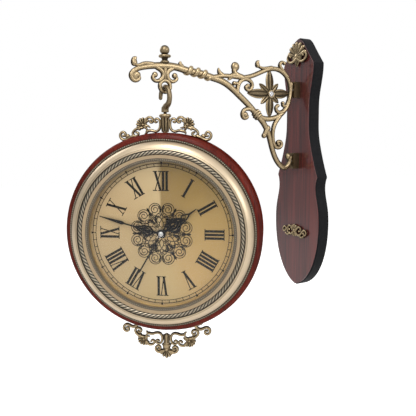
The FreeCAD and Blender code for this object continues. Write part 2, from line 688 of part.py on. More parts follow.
def swivel_collar():
    """Fluted collar with a flange on top and a foot let into the drum."""
    body_low = COLLAR_LOW + COLLAR_FOOT_HEIGHT
    height = COLLAR_HEIGHT - COLLAR_FOOT_HEIGHT - COLLAR_FLANGE_HEIGHT
    flutes = []
    for turn in range(COLLAR_FLUTES):
        angle = 2 * math.pi * (turn + 0.5) / COLLAR_FLUTES
        place = Vector(COLLAR_RADIUS * math.cos(angle), COLLAR_RADIUS * math.sin(angle), body_low)
        flutes.append(Part.makeCylinder(COLLAR_FLUTE_RADIUS, height, place))
    return collar_blank().cut(flutes)


def crest_screw_line(angle, r0, r1, radius):
    """A round bar along a radius of the drum, at an angle from straight up."""
    lean = math.radians(angle)
    heading = Vector(math.sin(lean), 0, math.cos(lean))
    return Part.makeCylinder(radius, r1 - r0, heading * r0, heading)


CREST_ANGLES = [CREST_FOOT_ANGLE, -CREST_FOOT_ANGLE, 180 - CREST_FOOT_ANGLE, 180 + CREST_FOOT_ANGLE]


def wood_rim():
    """Half-round wooden drum, bored for the pin and the crest screws."""
    flat_half = RIM_HALF_DEPTH - RIM_ROUND
    shoulder = RIM_RADIUS - RIM_ROUND
    slant = RIM_ROUND * math.sqrt(0.5)
    edges = []

    def at(radius, depth):
        return Vector(radius, -depth, 0)

    for side in (1, -1):
        brow = at(RIM_RADIUS, side * flat_half)
        mid = at(shoulder + slant, side * (flat_half + slant))
        edge = at(shoulder, side * RIM_HALF_DEPTH)
        edges.append(Part.Arc(brow, mid, edge).toShape())
        edges.append(Part.makeLine(edge, at(RIM_BORE, side * RIM_HALF_DEPTH)))
    edges.append(Part.makeLine(at(RIM_RADIUS, flat_half), at(RIM_RADIUS, -flat_half)))
    edges.append(Part.makeLine(at(RIM_BORE, RIM_HALF_DEPTH), at(RIM_BORE, -RIM_HALF_DEPTH)))
    face = Part.Face(Part.Wire(Part.__sortEdges__(edges)))
    drum = face.revolve(Vector(0, 0, 0), Vector(0, 1, 0), 360)
    inner = RIM_BORE - RIM_ROUND
    cuts = [Part.makeCylinder(COLLAR_BORE, RIM_RADIUS, Vector(0, 0, 0)),
            Part.makeCylinder(COLLAR_FOOT, 2 * COLLAR_SEAT, Vector(0, 0, COLLAR_LOW)),
            Part.makeCylinder(NUT_RADIUS + HANG_GAP, NUT_SEAT - inner, Vector(0, 0, inner))]
    for angle in CREST_ANGLES:
        cuts.append(crest_screw_line(angle, inner, RIM_RADIUS, CREST_SCREW_RADIUS))
        cuts.append(crest_screw_line(angle, inner, RIM_BORE + SPOT_FACE, CREST_SCREW_HEAD))
    return drum.cut(cuts)


def crest_screws():
    """Screws from inside the drum into the crests' feet."""
    seat = RIM_BORE + SPOT_FACE
    screws = []
    for angle in CREST_ANGLES:
        head = crest_screw_line(angle, seat - CREST_SCREW_HEAD_HEIGHT, seat, CREST_SCREW_HEAD)
        shank = crest_screw_line(angle, seat, RIM_RADIUS + CREST_SCREW_BITE, CREST_SCREW_RADIUS)
        screws.append(head.fuse(shank))
    return Part.makeCompound(screws)


def crest_foot(angle):
    """Foot of a crest, standing on the drum at an angle from straight up."""
    foot = box(-CREST_FOOT_WIDTH / 2, CREST_FOOT_WIDTH / 2, RIM_RADIUS - CREST_FOOT_RISE / 2,
               RIM_RADIUS + CREST_FOOT_RISE, CREST_DEPTH)
    foot.rotate(Vector(0, 0, 0), Vector(0, 1, 0), angle)
    return foot


def crest_screw_hole(angle):
    """Hole in a crest's foot for its screw."""
    return crest_screw_line(angle, RIM_RADIUS - SPOT_FACE, RIM_RADIUS + CREST_SCREW_BITE, CREST_SCREW_RADIUS)


def drum_envelope():
    """Plain cylinder of the drum, which the crests are cut to sit on."""
    return Part.makeCylinder(RIM_RADIUS, 4 * CREST_DEPTH, Vector(0, -2 * CREST_DEPTH, 0), Vector(0, 1, 0))


def lifted(points):
    """Crest drawing, in x and height above the drum's crown."""
    return [(x, RIM_RADIUS + rise) for x, rise in points]


def sunk(points):
    """Crest drawing, in x and depth below the drum's lowest point."""
    return [(x, -RIM_RADIUS - fall) for x, fall in points]


def top_crest():
    """Two mirrored scroll castings beside the collar."""
    deep = CREST_DEPTH
    wide = CREST_SCROLL
    fine = CREST_SCROLL * 0.65
    runs = [
        ([(-41, -1), (-53, -6.5), (-60, -8.5), (-64.5, -4.5), (-62, 0), (-58, -2)], 2.4),
        ([(-30, 9), (-40, 7), (-45.5, 1), (-43, -4), (-38.5, -1)], 2.4),
        ([(-18, 10), (-25, 5), (-27.5, -2)], 0.0),
        ([(-30, 8), (-19, 3.5), (-12, 4), (-8, 8.5), (-7.5, 14), (-10, 18)], 1.6),
        ([(-32, 13), (-26, 20), (-19.5, 21), (-16.5, 17), (-20, 14)], 2.2),
        ([(-6, 15.5), (-11, 17.5), (-14.5, 15), (-12, 12)], 1.8),
    ]
    solids = fan(-30, RIM_RADIUS + 12, 12, 135, 170, 7, deep)
    for points, end in runs:
        solids += stroke(lifted(points), wide, fine, deep, end)
    solids.append(crest_foot(-CREST_FOOT_ANGLE))
    half = join(solids).cut([drum_envelope(), crest_screw_hole(-CREST_FOOT_ANGLE), collar_blank()])
    return Part.makeCompound([half, mirrored(half)])


def bottom_crest():
    """One scroll casting under the drum, with a vase and a hanging palmette."""
    deep = CREST_DEPTH
    wide = CREST_SCROLL
    fine = CREST_SCROLL * 0.65
    runs = [
        ([(-42, 2), (-53, 2.5), (-60, 4), (-62, 8.5), (-58.5, 11.5), (-55.5, 8)], 2.4),
        ([(-40, 1), (-37.5, 7), (-37.5, 12), (-42, 14.5), (-44, 10.5)], 2.2),
        ([(-28, 4), (-26, 12), (-30, 18)], 0.0),
        ([(-30, 18), (-20, 13.5), (-12, 13.5), (-7.5, 18), (-8, 24), (-12, 28)], 1.8),
        ([(-31, 27), (-26, 31), (-19, 29.5), (-17.5, 25), (-22, 23)], 2.2),
        ([(-3, 31), (-9, 32), (-14, 36), (-10.5, 39.5), (-7.5, 36)], 2.0),
    ]
    solids = fan(-30, -RIM_RADIUS - 21, 12, 225, 170, 7, deep)
    for points, end in runs:
        solids += stroke(sunk(points), wide, fine, deep, end)
    left = join(solids)
    low = -RIM_RADIUS
    centre = [drop((0, low - 5), (0, low - 18), 3.0, 6.2, deep),
              drop((0, low - 18), (0, low - 29), 6.2, 3.0, deep),
              box(-7, 7, low - 32, low - 28, deep)]
    centre += fan(0, low - 36, 12.5, -90, 150, 7, deep)
    ring = Part.makeCylinder(RIM_RADIUS + CREST_BAND, deep, Vector(0, -deep / 2, 0), Vector(0, 1, 0))
    reach = 2 * RIM_RADIUS
    spread = reach * math.tan(math.radians(CREST_BAND_HALF_ANGLE))
    sector = Part.makePolygon(flat([(0, 0), (-spread, -reach), (spread, -reach), (0, 0)]))
    band = ring.common(thicken(list(sector.Edges), deep))
    casting = join([left, mirrored(left), band] + centre)
    return casting.cut([drum_envelope()] + [crest_screw_hole(angle) for angle in CREST_ANGLES[2:]])


# One face: bezel, rope ring, glass, dial pan, movement and hands, built as the front face

def bezel():
    """Cast bezel: skirt in the drum, convex moulding, rope seat and inner lip."""
    low = RIM_HALF_DEPTH - SKIRT_DEPTH
    skirt = RIM_BORE - SLIDING_FIT
    flange = RIM_HALF_DEPTH + BEZEL_FLANGE
    bow_out = (BEZEL_FOOT + BEZEL_TOP_RADIUS) / 2 + BEZEL_BOW
    bow_up = (flange + FACE_D) / 2 + BEZEL_BOW
    seat = FACE_D - ROPE_SEAT_DEPTH
    pocket = GLASS_RADIUS + SLIDING_FIT
    inner_low = DIAL_BACK_D - BEZEL_LAP
    outer = [(skirt, low), (skirt, RIM_HALF_DEPTH), (BEZEL_OUTER, RIM_HALF_DEPTH), (BEZEL_OUTER, flange),
             (BEZEL_FOOT, flange)]
    inner = [(BEZEL_TOP_RADIUS, FACE_D), (BEZEL_TOP_RADIUS, seat), (ROPE_INNER, seat),
             (ROPE_INNER, FACE_D - BAND_DROP), (BAND_INNER, LIP_TOP_D), (LIP_RADIUS, LIP_TOP_D),
             (LIP_RADIUS, GLASS_D), (pocket, GLASS_D), (pocket, inner_low),
             (pocket + BEZEL_WALL, inner_low), (pocket + BEZEL_WALL, GLASS_D - BEZEL_LAP),
             (BEZEL_TOP_RADIUS - BEZEL_WALL, seat - BEZEL_WALL),
             (skirt - BEZEL_WALL, RIM_HALF_DEPTH + BEZEL_WALL), (skirt - BEZEL_WALL, low), (skirt, low)]

    def at(radius, depth):
        return Vector(radius, -depth, 0)

    edges = list(Part.makePolygon([at(*point) for point in outer]).Edges)
    edges.append(Part.Arc(at(*outer[-1]), at(bow_out, bow_up), at(*inner[0])).toShape())
    edges += list(Part.makePolygon([at(*point) for point in inner]).Edges)
    face = Part.Face(Part.Wire(Part.__sortEdges__(edges)))
    return face.revolve(Vector(0, 0, 0), Vector(0, 1, 0), 360)


def rope_ring():
    """Round ring in the bezel's groove, flat where it is seated."""
    seat = FACE_D - ROPE_SEAT_DEPTH
    half = (BEZEL_TOP_RADIUS - ROPE_INNER) / 2
    middle = ROPE_INNER + half

    def at(radius, depth):
        return Vector(radius, -depth, 0)

    crown = Part.Arc(at(BEZEL_TOP_RADIUS, seat), at(middle, seat + half), at(ROPE_INNER, seat)).toShape()
    base = Part.makeLine(at(ROPE_INNER, seat), at(BEZEL_TOP_RADIUS, seat))
    return Part.Face(Part.Wire([crown, base])).revolve(Vector(0, 0, 0), Vector(0, 1, 0), 360)


def glass():
    """Domed glass with a flat rim held under the bezel's lip."""
    rim_in = LIP_RADIUS - PAN_WALL
    top = GLASS_D
    low = GLASS_D - GLASS_EDGE

    def at(radius, depth):
        return Vector(radius, -depth, 0)

    def dome(radius, base, sag):
        sphere = (radius ** 2 + sag ** 2) / (2 * sag)
        mid = radius / 2
        return Part.Arc(at(radius, base), at(mid, base + sag - sphere + math.sqrt(sphere ** 2 - mid ** 2)),
                        at(0, base + sag)).toShape()

    edges = [Part.makeLine(at(rim_in, top), at(GLASS_RADIUS, top)),
             Part.makeLine(at(GLASS_RADIUS, top), at(GLASS_RADIUS, low)),
             Part.makeLine(at(GLASS_RADIUS, low), at(rim_in, low)),
             dome(rim_in, low, GLASS_SAG),
             dome(rim_in, top, GLASS_SAG),
             Part.makeLine(at(0, low + GLASS_SAG), at(0, top + GLASS_SAG))]
    face = Part.Face(Part.Wire(Part.__sortEdges__(edges)))
    return face.revolve(Vector(0, 0, 0), Vector(0, 1, 0), 360)


def dial():
    """Dial pan: flat dial with an upright wall that holds the glass."""
    outer = GLASS_RADIUS - SLIDING_FIT
    top = GLASS_D - GLASS_EDGE
    hole = BUSH_RADIUS + SLIDING_FIT
    return turned([(hole, DIAL_BACK_D), (outer, DIAL_BACK_D), (outer, top), (outer - PAN_WALL, top),
                   (outer - PAN_WALL, DIAL_D), (hole, DIAL_D)])


def bush_nut():
    """Six-sided nut on the movement's bush, clamping the dial."""
    corners = []
    for turn in range(6):
        angle = math.radians(60 * turn)
        corners.append((BUSH_NUT * math.cos(angle), BUSH_NUT * math.sin(angle)))
    blank = thicken(list(Part.makePolygon(flat(corners + corners[:1])).Edges), BUSH_NUT_HEIGHT)
    blank.translate(Vector(0, -DIAL_D - BUSH_NUT_HEIGHT / 2, 0))
    return blank.cut(rod(0, 0, BUSH_RADIUS, DIAL_D, DIAL_D + BUSH_NUT_HEIGHT))


# Movement levels, as depth behind the dial's back
MOVEMENT_BACK_D = DIAL_BACK_D - MOVEMENT_DEPTH
COVER_D = MOVEMENT_BACK_D + COVER_THICKNESS
INNER_FRONT_D = DIAL_BACK_D - CASE_WALL
LEVEL_STEP = WHEEL_GAP + WHEEL_THICKNESS
HOUR_WHEEL_D = INNER_FRONT_D - FRONT_GAP - WHEEL_THICKNESS
MOTION_WHEEL_D = HOUR_WHEEL_D - LEVEL_STEP
MINUTE_WHEEL_D = MOTION_WHEEL_D - LEVEL_STEP
THIRD_WHEEL_D = MINUTE_WHEEL_D - LEVEL_STEP
SECOND_WHEEL_D = THIRD_WHEEL_D - LEVEL_STEP
RELAY_WHEEL_D = SECOND_WHEEL_D - LEVEL_STEP
MAGNET_D = RELAY_WHEEL_D + MAGNET_LIFT + WHEEL_THICKNESS
STATOR_D = MAGNET_D + (MAGNET_LENGTH - STATOR_THICKNESS) / 2
STATOR_HALF = MAGNET_RADIUS + STATOR_GAP + STATOR_RIM
STATOR_END = MOVEMENT_SIZE / 2 - CASE_WALL - STATOR_GAP
BATTERY_D = (INNER_FRONT_D + MOVEMENT_BACK_D) / 2
BAY_TOP = -MOVEMENT_SIZE / 2 + CASE_WALL + 2 * (BATTERY_RADIUS + SLIDING_FIT)
GEAR_LOW = BAY_TOP + CASE_WALL
THIRD_AT = (-THIRD_CENTRES, 0.0)
MOTION_AT = (MOTION_CENTRES, 0.0)
RELAY_AT = (0.0, RELAY_CENTRES)
ROTOR_AT = (RELAY_AT[0] + ROTOR_CENTRES * math.cos(math.radians(ROTOR_BEARING)),
            RELAY_AT[1] + ROTOR_CENTRES * math.sin(math.radians(ROTOR_BEARING)))
BATTERY_Z = -MOVEMENT_SIZE / 2 + CASE_WALL + BATTERY_RADIUS + SLIDING_FIT


def rounded_block(half, d0, d1, corner):
    """Square block with rounded upright edges."""
    block = slab(-half, half, -half, half, d0, d1)
    edges = [edge for edge in block.Edges if abs(edge.Vertexes[0].Y - edge.Vertexes[1].Y) > (d1 - d0) / 2]
    return block.makeFillet(corner, edges)


def movement_case():
    """Moulded case: front wall with the threaded bush, gear room and battery bay."""
    half = MOVEMENT_SIZE / 2
    case = rounded_block(half, MOVEMENT_BACK_D, DIAL_BACK_D, CASE_CORNER)
    inside = half - CASE_WALL
    room = slab(-inside, inside, GEAR_LOW, inside, MOVEMENT_BACK_D, INNER_FRONT_D)
    bay = slab(-inside, inside, -inside, BAY_TOP, MOVEMENT_BACK_D, INNER_FRONT_D)
    bush = rod(0, 0, BUSH_RADIUS, DIAL_BACK_D, DIAL_BACK_D + BUSH_RISE)
    posts = [rod(x, z, POST_RADIUS, STATOR_D + STATOR_THICKNESS, INNER_FRONT_D) for x, z in stator_posts()]
    case = case.cut([room, bay]).fuse([bush] + posts)
    cuts = [rod(0, 0, BUSH_BORE, INNER_FRONT_D, DIAL_BACK_D + BUSH_RISE)]
    for x, z in (THIRD_AT, MOTION_AT, RELAY_AT, ROTOR_AT):
        cuts.append(rod(x, z, PIVOT_BORE, INNER_FRONT_D, DIAL_BACK_D - PIVOT_SKIN))
    return case.cut(cuts)


def movement_cover():
    """Back plate over the gear room, with the arbors' rear pivots."""
    inside = MOVEMENT_SIZE / 2 - CASE_WALL
    plate = slab(-inside, inside, GEAR_LOW, inside, MOVEMENT_BACK_D, COVER_D)
    cuts = [rod(MOTION_AT[0], MOTION_AT[1], PIVOT_BORE, MOVEMENT_BACK_D, COVER_D)]
    for x, z in (THIRD_AT, RELAY_AT, ROTOR_AT):
        cuts.append(rod(x, z, PIVOT_BORE, MOVEMENT_BACK_D + PIVOT_SKIN, COVER_D))
    cuts.append(rod(0, 0, MINUTE_BORE, MOVEMENT_BACK_D + PIVOT_SKIN, COVER_D))
    return plate.cut(cuts)


def battery():
    """Dry cell lying in the bay."""
    along = Vector(1, 0, 0)
    start = Vector(-BATTERY_LENGTH / 2, -BATTERY_D, BATTERY_Z)
    can_length = BATTERY_LENGTH - BATTERY_TIP
    can = Part.makeCylinder(BATTERY_RADIUS, can_length, start, along)
    tip = Part.makeCylinder(BATTERY_TIP_RADIUS, BATTERY_TIP, start + along * can_length, along)
    return can.fuse(tip)


def circuit_board():
    """Small circuit board lying on the cover's inner face."""
    right = MOVEMENT_SIZE / 2 - CASE_WALL - CIRCUIT_EDGE
    return slab(right - CIRCUIT_WIDTH, right, CIRCUIT_LOW, CIRCUIT_LOW + CIRCUIT_HEIGHT, COVER_D,
                COVER_D + CIRCUIT_THICKNESS)


def stator_posts():
    """Places of the two case posts that the stator is staked to."""
    height = ROTOR_AT[1] + STATOR_HALF - POST_RADIUS
    return [(ROTOR_AT[0] - STATOR_HALF + POST_RADIUS, height), (STATOR_END - POST_RADIUS, height)]


def stator():
    """Laminated stator round the magnet, with the coil on its far leg."""
    x, z = ROTOR_AT
    front = STATOR_D + STATOR_THICKNESS
    leg_low = z + MAGNET_RADIUS - STATOR_LEG / 2
    plate = slab(x - STATOR_HALF, STATOR_END, z - STATOR_HALF, z + STATOR_HALF, STATOR_D, front)
    window = slab(x + STATOR_HALF, STATOR_END - STATOR_LEG, z - STATOR_HALF, leg_low, STATOR_D, front)
    magnet_room = rod(x, z, MAGNET_RADIUS + STATOR_GAP, STATOR_D, front)
    arbor_room = rod(RELAY_AT[0], RELAY_AT[1], PIVOT_RADIUS + STATOR_GAP, STATOR_D, front)
    plate = plate.cut([magnet_room, arbor_room, window])
    coil_x = STATOR_END - STATOR_LEG - STATOR_GAP - COIL_LENGTH
    start = Vector(coil_x, -(STATOR_D + front) / 2, (leg_low + z + STATOR_HALF) / 2)
    coil = Part.makeCylinder(COIL_RADIUS, COIL_LENGTH, start, Vector(1, 0, 0))
    return Part.makeCompound([plate, coil.cut(plate)])


def gear(teeth, module, x, z, heading, d0, thickness):
    """Straight-flanked toothed disc; a tooth points along the heading in degrees."""
    pitch = teeth * module / 2
    tip = pitch + 0.8 * module
    root = pitch - 1.15 * module
    half = math.pi / (2 * teeth) * (1 - BACKLASH)
    points = []
    for tooth in range(teeth):
        middle = math.radians(heading) + 2 * math.pi * tooth / teeth
        for radius, side in ((root, -1.45), (tip, -0.45), (tip, 0.45), (root, 1.45)):
            angle = middle + side * half
            points.append((x + radius * math.cos(angle), z + radius * math.sin(angle)))
    blank = thicken(list(Part.makePolygon(flat(points + points[:1])).Edges), thickness)
    blank.translate(Vector(0, -d0 - thickness / 2, 0))
    return blank


def module_of(centres, first, second):
    """Module of a pair of gears from their centre distance and tooth counts."""
    return 2 * centres / (first + second)


def gap_heading(heading, teeth):
    """Heading that puts a gap, not a tooth, toward the given direction."""
    return heading + 180.0 / teeth


RELAY_MODULE = module_of(ROTOR_CENTRES, ROTOR_PINION, RELAY_WHEEL)
SECOND_MODULE = module_of(RELAY_CENTRES, RELAY_PINION, SECOND_WHEEL)
THIRD_MODULE = module_of(THIRD_CENTRES, SECOND_PINION, THIRD_WHEEL)
MINUTE_MODULE = module_of(THIRD_CENTRES, THIRD_PINION, MINUTE_WHEEL)
MOTION_MODULE = module_of(MOTION_CENTRES, CANNON_PINION, MOTION_WHEEL)
HOUR_MODULE = module_of(MOTION_CENTRES, MOTION_PINION, HOUR_WHEEL)
PINION_SINK = (PINION_THICKNESS - WHEEL_THICKNESS) / 2


def arbor(at, d0, d1):
    """Plain arbor of a wheel, between its two pivots."""
    return rod(at[0], at[1], PIVOT_RADIUS, d0, d1)


def rotor():
    """Magnet rotor with its pinion."""
    pinion = gear(ROTOR_PINION, RELAY_MODULE, ROTOR_AT[0], ROTOR_AT[1], ROTOR_BEARING + 180,
                  RELAY_WHEEL_D - PINION_SINK, PINION_THICKNESS)
    magnet = rod(ROTOR_AT[0], ROTOR_AT[1], MAGNET_RADIUS, MAGNET_D, MAGNET_D + MAGNET_LENGTH)
    return join([magnet, pinion, arbor(ROTOR_AT, COVER_D - PIVOT_REST, INNER_FRONT_D + PIVOT_REST)])


def relay_wheel():
    """Wheel between the rotor and the seconds wheel."""
    heading = gap_heading(ROTOR_BEARING, RELAY_WHEEL)
    wheel = gear(RELAY_WHEEL, RELAY_MODULE, RELAY_AT[0], RELAY_AT[1], heading, RELAY_WHEEL_D, WHEEL_THICKNESS)
    pinion = gear(RELAY_PINION, SECOND_MODULE, RELAY_AT[0], RELAY_AT[1], 270.0, SECOND_WHEEL_D - PINION_SINK,
                  PINION_THICKNESS)
    return join([wheel, pinion, arbor(RELAY_AT, COVER_D - PIVOT_REST, INNER_FRONT_D + PIVOT_REST)])


def second_wheel():
    """Seconds wheel and pinion on the arbor that carries the second hand."""
    heading = gap_heading(90.0, SECOND_WHEEL)
    wheel = gear(SECOND_WHEEL, SECOND_MODULE, 0, 0, heading, SECOND_WHEEL_D, WHEEL_THICKNESS)
    pinion = gear(SECOND_PINION, THIRD_MODULE, 0, 0, 180.0, THIRD_WHEEL_D - PINION_SINK, PINION_THICKNESS)
    shaft = rod(0, 0, SECOND_ARBOR, COVER_D - PIVOT_REST, SECOND_HAND_D + HAND_THICKNESS)
    return join([wheel, pinion, shaft])


def third_wheel():
    """Third wheel, from the seconds pinion to the minute wheel."""
    wheel = gear(THIRD_WHEEL, THIRD_MODULE, THIRD_AT[0], THIRD_AT[1], gap_heading(0.0, THIRD_WHEEL),
                 THIRD_WHEEL_D, WHEEL_THICKNESS)
    pinion = gear(THIRD_PINION, MINUTE_MODULE, THIRD_AT[0], THIRD_AT[1], 0.0, MINUTE_WHEEL_D - PINION_SINK,
                  PINION_THICKNESS)
    return join([wheel, pinion, arbor(THIRD_AT, COVER_D - PIVOT_REST, INNER_FRONT_D + PIVOT_REST)])


def minute_wheel():
    """Minute wheel, cannon pinion and the tube that carries the minute hand."""
    heading = gap_heading(180.0, MINUTE_WHEEL)
    wheel = gear(MINUTE_WHEEL, MINUTE_MODULE, 0, 0, heading, MINUTE_WHEEL_D, WHEEL_THICKNESS)
    pinion = gear(CANNON_PINION, MOTION_MODULE, 0, 0, 0.0, MOTION_WHEEL_D - PINION_SINK, PINION_THICKNESS)
    tube = rod(0, 0, MINUTE_TUBE, MINUTE_WHEEL_D, MINUTE_HAND_D + HAND_THICKNESS)
    bore = rod(0, 0, MINUTE_BORE, MINUTE_WHEEL_D, MINUTE_HAND_D + HAND_THICKNESS)
    return join([wheel, pinion, tube]).cut(bore)


def motion_wheel():
    """Reduction wheel from the cannon pinion to the hour wheel, on the setting arbor."""
    wheel = gear(MOTION_WHEEL, MOTION_MODULE, MOTION_AT[0], MOTION_AT[1], gap_heading(180.0, MOTION_WHEEL),
                 MOTION_WHEEL_D, WHEEL_THICKNESS)
    pinion = gear(MOTION_PINION, HOUR_MODULE, MOTION_AT[0], MOTION_AT[1], 180.0, HOUR_WHEEL_D - PINION_SINK,
                  PINION_THICKNESS)
    return join([wheel, pinion, arbor(MOTION_AT, KNOB_D, INNER_FRONT_D + PIVOT_REST)])


KNOB_D = MOVEMENT_BACK_D - HANG_GAP - KNOB_HEIGHT


def set_knob():
    """Setting knob on the motion wheel's arbor, outside the cover."""
    knob = rod(MOTION_AT[0], MOTION_AT[1], KNOB_RADIUS, KNOB_D, KNOB_D + KNOB_HEIGHT)
    return knob.cut(rod(MOTION_AT[0], MOTION_AT[1], PIVOT_RADIUS, KNOB_D, KNOB_D + KNOB_HEIGHT))


def hour_wheel():
    """Hour wheel and the tube that carries the hour hand."""
    wheel = gear(HOUR_WHEEL, HOUR_MODULE, 0, 0, gap_heading(0.0, HOUR_WHEEL), HOUR_WHEEL_D, WHEEL_THICKNESS)
    tube = rod(0, 0, HOUR_TUBE, HOUR_WHEEL_D, HOUR_HAND_D + HAND_THICKNESS)
    bore = rod(0, 0, HOUR_BORE, HOUR_WHEEL_D, HOUR_HAND_D + HAND_THICKNESS)
    return join([wheel, tube]).cut(bore)


# Hands, drawn pointing to twelve and then turned clockwise to the time

HOUR_HAND_D = DIAL_BACK_D + BUSH_RISE + HOUR_HAND_LIFT
MINUTE_HAND_D = HOUR_HAND_D + HAND_STEP
SECOND_HAND_D = MINUTE_HAND_D + HAND_STEP
SECOND_ANGLE = 6.0 * TIME_SECONDS
MINUTE_ANGLE = 6.0 * (TIME_MINUTES + TIME_SECONDS / 60)
HOUR_ANGLE = 30.0 * (TIME_HOURS + (TIME_MINUTES + TIME_SECONDS / 60) / 60)


def set_hand(solids, depth, angle, bore):
    """Join a hand's pieces, bore its hub, and set it to an angle at a depth."""
    blade = join(solids)
    if bore:
        blade = blade.cut(disc(0, 0, bore, 2 * HAND_THICKNESS))
    blade.translate(Vector(0, -depth - HAND_THICKNESS / 2, 0))
    blade.rotate(Vector(0, 0, 0), Vector(0, 1, 0), angle)
    return blade


def pierced_loop(low, high, half, width):
    """Pointed oval loop of a hand, from two bowed strokes."""
    middle = (low + high) / 2
    side = join(stroke([(0, low), (-half * 0.9, low + (high - low) * 0.28), (-half * 0.8, middle), (0, high)],
                       width, width * 0.8, HAND_THICKNESS))
    return [side, mirrored(side)]


def hour_hand():
    """Pierced hour hand: two loops one inside the other, a small pierced point and a needle."""
    thick = HAND_THICKNESS
    solids = [disc(0, 0, HOUR_TUBE + HAND_HUB, thick), drop((0, 0), (0, 0.24 * HOUR_LENGTH), 2.0, 1.4, thick)]
    solids += pierced_loop(0.20 * HOUR_LENGTH, 0.60 * HOUR_LENGTH, 9.0, 2.2)
    solids += pierced_loop(0.26 * HOUR_LENGTH, 0.50 * HOUR_LENGTH, 4.6, 1.7)
    solids += pierced_loop(0.57 * HOUR_LENGTH, 0.80 * HOUR_LENGTH, 4.0, 1.7)
    solids.append(drop((0, 0.24 * HOUR_LENGTH), (0, 0.62 * HOUR_LENGTH), 0.9, 0.9, thick))
    solids.append(drop((0, 0.78 * HOUR_LENGTH), (0, HOUR_LENGTH - 0.5), 1.3, 0.5, thick))
    return set_hand(solids, HOUR_HAND_D, HOUR_ANGLE, HOUR_TUBE)


def minute_hand():
    """Pierced minute hand: two loops one inside the other, a neck and a shouldered blade."""
    thick = HAND_THICKNESS
    solids = [disc(0, 0, MINUTE_TUBE + HAND_HUB, thick),
              drop((0, 0), (0, 0.14 * MINUTE_LENGTH), 1.8, 1.3, thick)]
    solids += pierced_loop(0.12 * MINUTE_LENGTH, 0.42 * MINUTE_LENGTH, 5.8, 1.9)
    solids += pierced_loop(0.17 * MINUTE_LENGTH, 0.34 * MINUTE_LENGTH, 3.0, 1.4)
    solids.append(drop((0, 0.14 * MINUTE_LENGTH), (0, 0.62 * MINUTE_LENGTH), 0.9, 0.9, thick))
    solids.append(drop((0, 0.61 * MINUTE_LENGTH), (0, MINUTE_LENGTH - 0.4), 2.2, 0.4, thick))
    return set_hand(solids, MINUTE_HAND_D, MINUTE_ANGLE, MINUTE_TUBE)


def second_hand():
    """Needle with a counterweight, and the cap over its hub."""
    thick = HAND_THICKNESS
    solids = [disc(0, 0, CAP_RADIUS, thick),
              drop((0, -SECOND_TAIL), (0, SECOND_LENGTH - 0.3), 0.8, 0.3, thick),
              disc(0, -SECOND_TAIL, 2.2, thick)]
    needle = set_hand(solids, SECOND_HAND_D, SECOND_ANGLE, SECOND_ARBOR)
    top = SECOND_HAND_D + thick
    return join([needle, rod(0, 0, CAP_RADIUS, top, top + CAP_HEIGHT)])


# Assembly

def hung(shape):
    """Hang a clock piece on the swivel axis, turned as it hangs."""
    placed = shape.copy()
    placed.Placement = Placement(Vector(EYE_X, 0, CLOCK_Z), Rotation(Vector(0, 0, 1), CLOCK_TURN)).multiply(
        placed.Placement)
    return placed


def wall_side():
    """Pieces fixed to the wall, with the holes that their fasteners need."""
    pocket = KEYHOLE_RADIUS + KEYHOLE_HEAD_ROOM
    cuts = []
    screws = []
    for z in keyhole_centres():
        cuts.append(keyhole_blank(z))
        cuts.append(keyhole_opening(z, -KEYHOLE_POCKET_DEPTH, -KEYHOLE_PLATE_THICKNESS, pocket, pocket))
        screws += keyhole_screws(z)
    feet = [foot_screw(z) for z in foot_heights()]
    core = backboard().cut(cuts + screws + feet)
    return {
        "backboard": core,
        "board_facing": board_facing().cut(feet),
        "keyhole_plates": Part.makeCompound([keyhole_plate(z) for z in keyhole_centres()]),
        "keyhole_screws": Part.makeCompound(screws),
        "shell_applique": shell_applique(),
        "scroll_applique": scroll_applique(),
        "bracket_arm": bracket_arm(),
        "bracket_feet": Part.makeCompound([bracket_foot(z) for z in foot_heights()]),
        "foot_screws": Part.makeCompound(feet),
        "flower_studs": Part.makeCompound(flower_studs()),
        "finial": finial(),
        "hook": hook(),
        "swivel_nut": swivel_nut(),
    }


def drum_side():
    """Pieces of the drum that hangs on the hook."""
    return {
        "swivel_collar": swivel_collar(),
        "wood_rim": wood_rim(),
        "top_crest": top_crest(),
        "bottom_crest": bottom_crest(),
        "crest_screws": crest_screws(),
    }


def one_face():
    """Pieces of one face, facing -Y."""
    return {
        "bezel": bezel(),
        "rope_ring": rope_ring(),
        "glass": glass(),
        "dial": dial(),
        "bush_nut": bush_nut(),
        "movement_case": movement_case(),
        "movement_cover": movement_cover(),
        "battery": battery(),
        "circuit_board": circuit_board(),
        "stator": stator(),
        "rotor": rotor(),
        "relay_wheel": relay_wheel(),
        "second_wheel": second_wheel(),
        "third_wheel": third_wheel(),
        "minute_wheel": minute_wheel(),
        "motion_wheel": motion_wheel(),
        "set_knob": set_knob(),
        "hour_wheel": hour_wheel(),
        "hour_hand": hour_hand(),
        "minute_hand": minute_hand(),
        "second_hand": second_hand(),
    }


def assembly():
    """Every node of the clock by name, in its place."""
    nodes = wall_side()
    for name, shape in drum_side().items():
        nodes[name] = hung(shape)
    for name, shape in one_face().items():
        behind = shape.copy()
        behind.rotate(Vector(0, 0, 0), Vector(0, 0, 1), 180)
        nodes["front_" + name] = hung(shape)
        nodes["rear_" + name] = hung(behind)
    return nodes


def main():
    os.makedirs("parts", exist_ok=True)
    for name, shape in assembly().items():
        shape.exportStep("parts/" + name + ".step")
        print(name, len(shape.Solids), round(shape.Volume, 1), shape.isValid())


main()
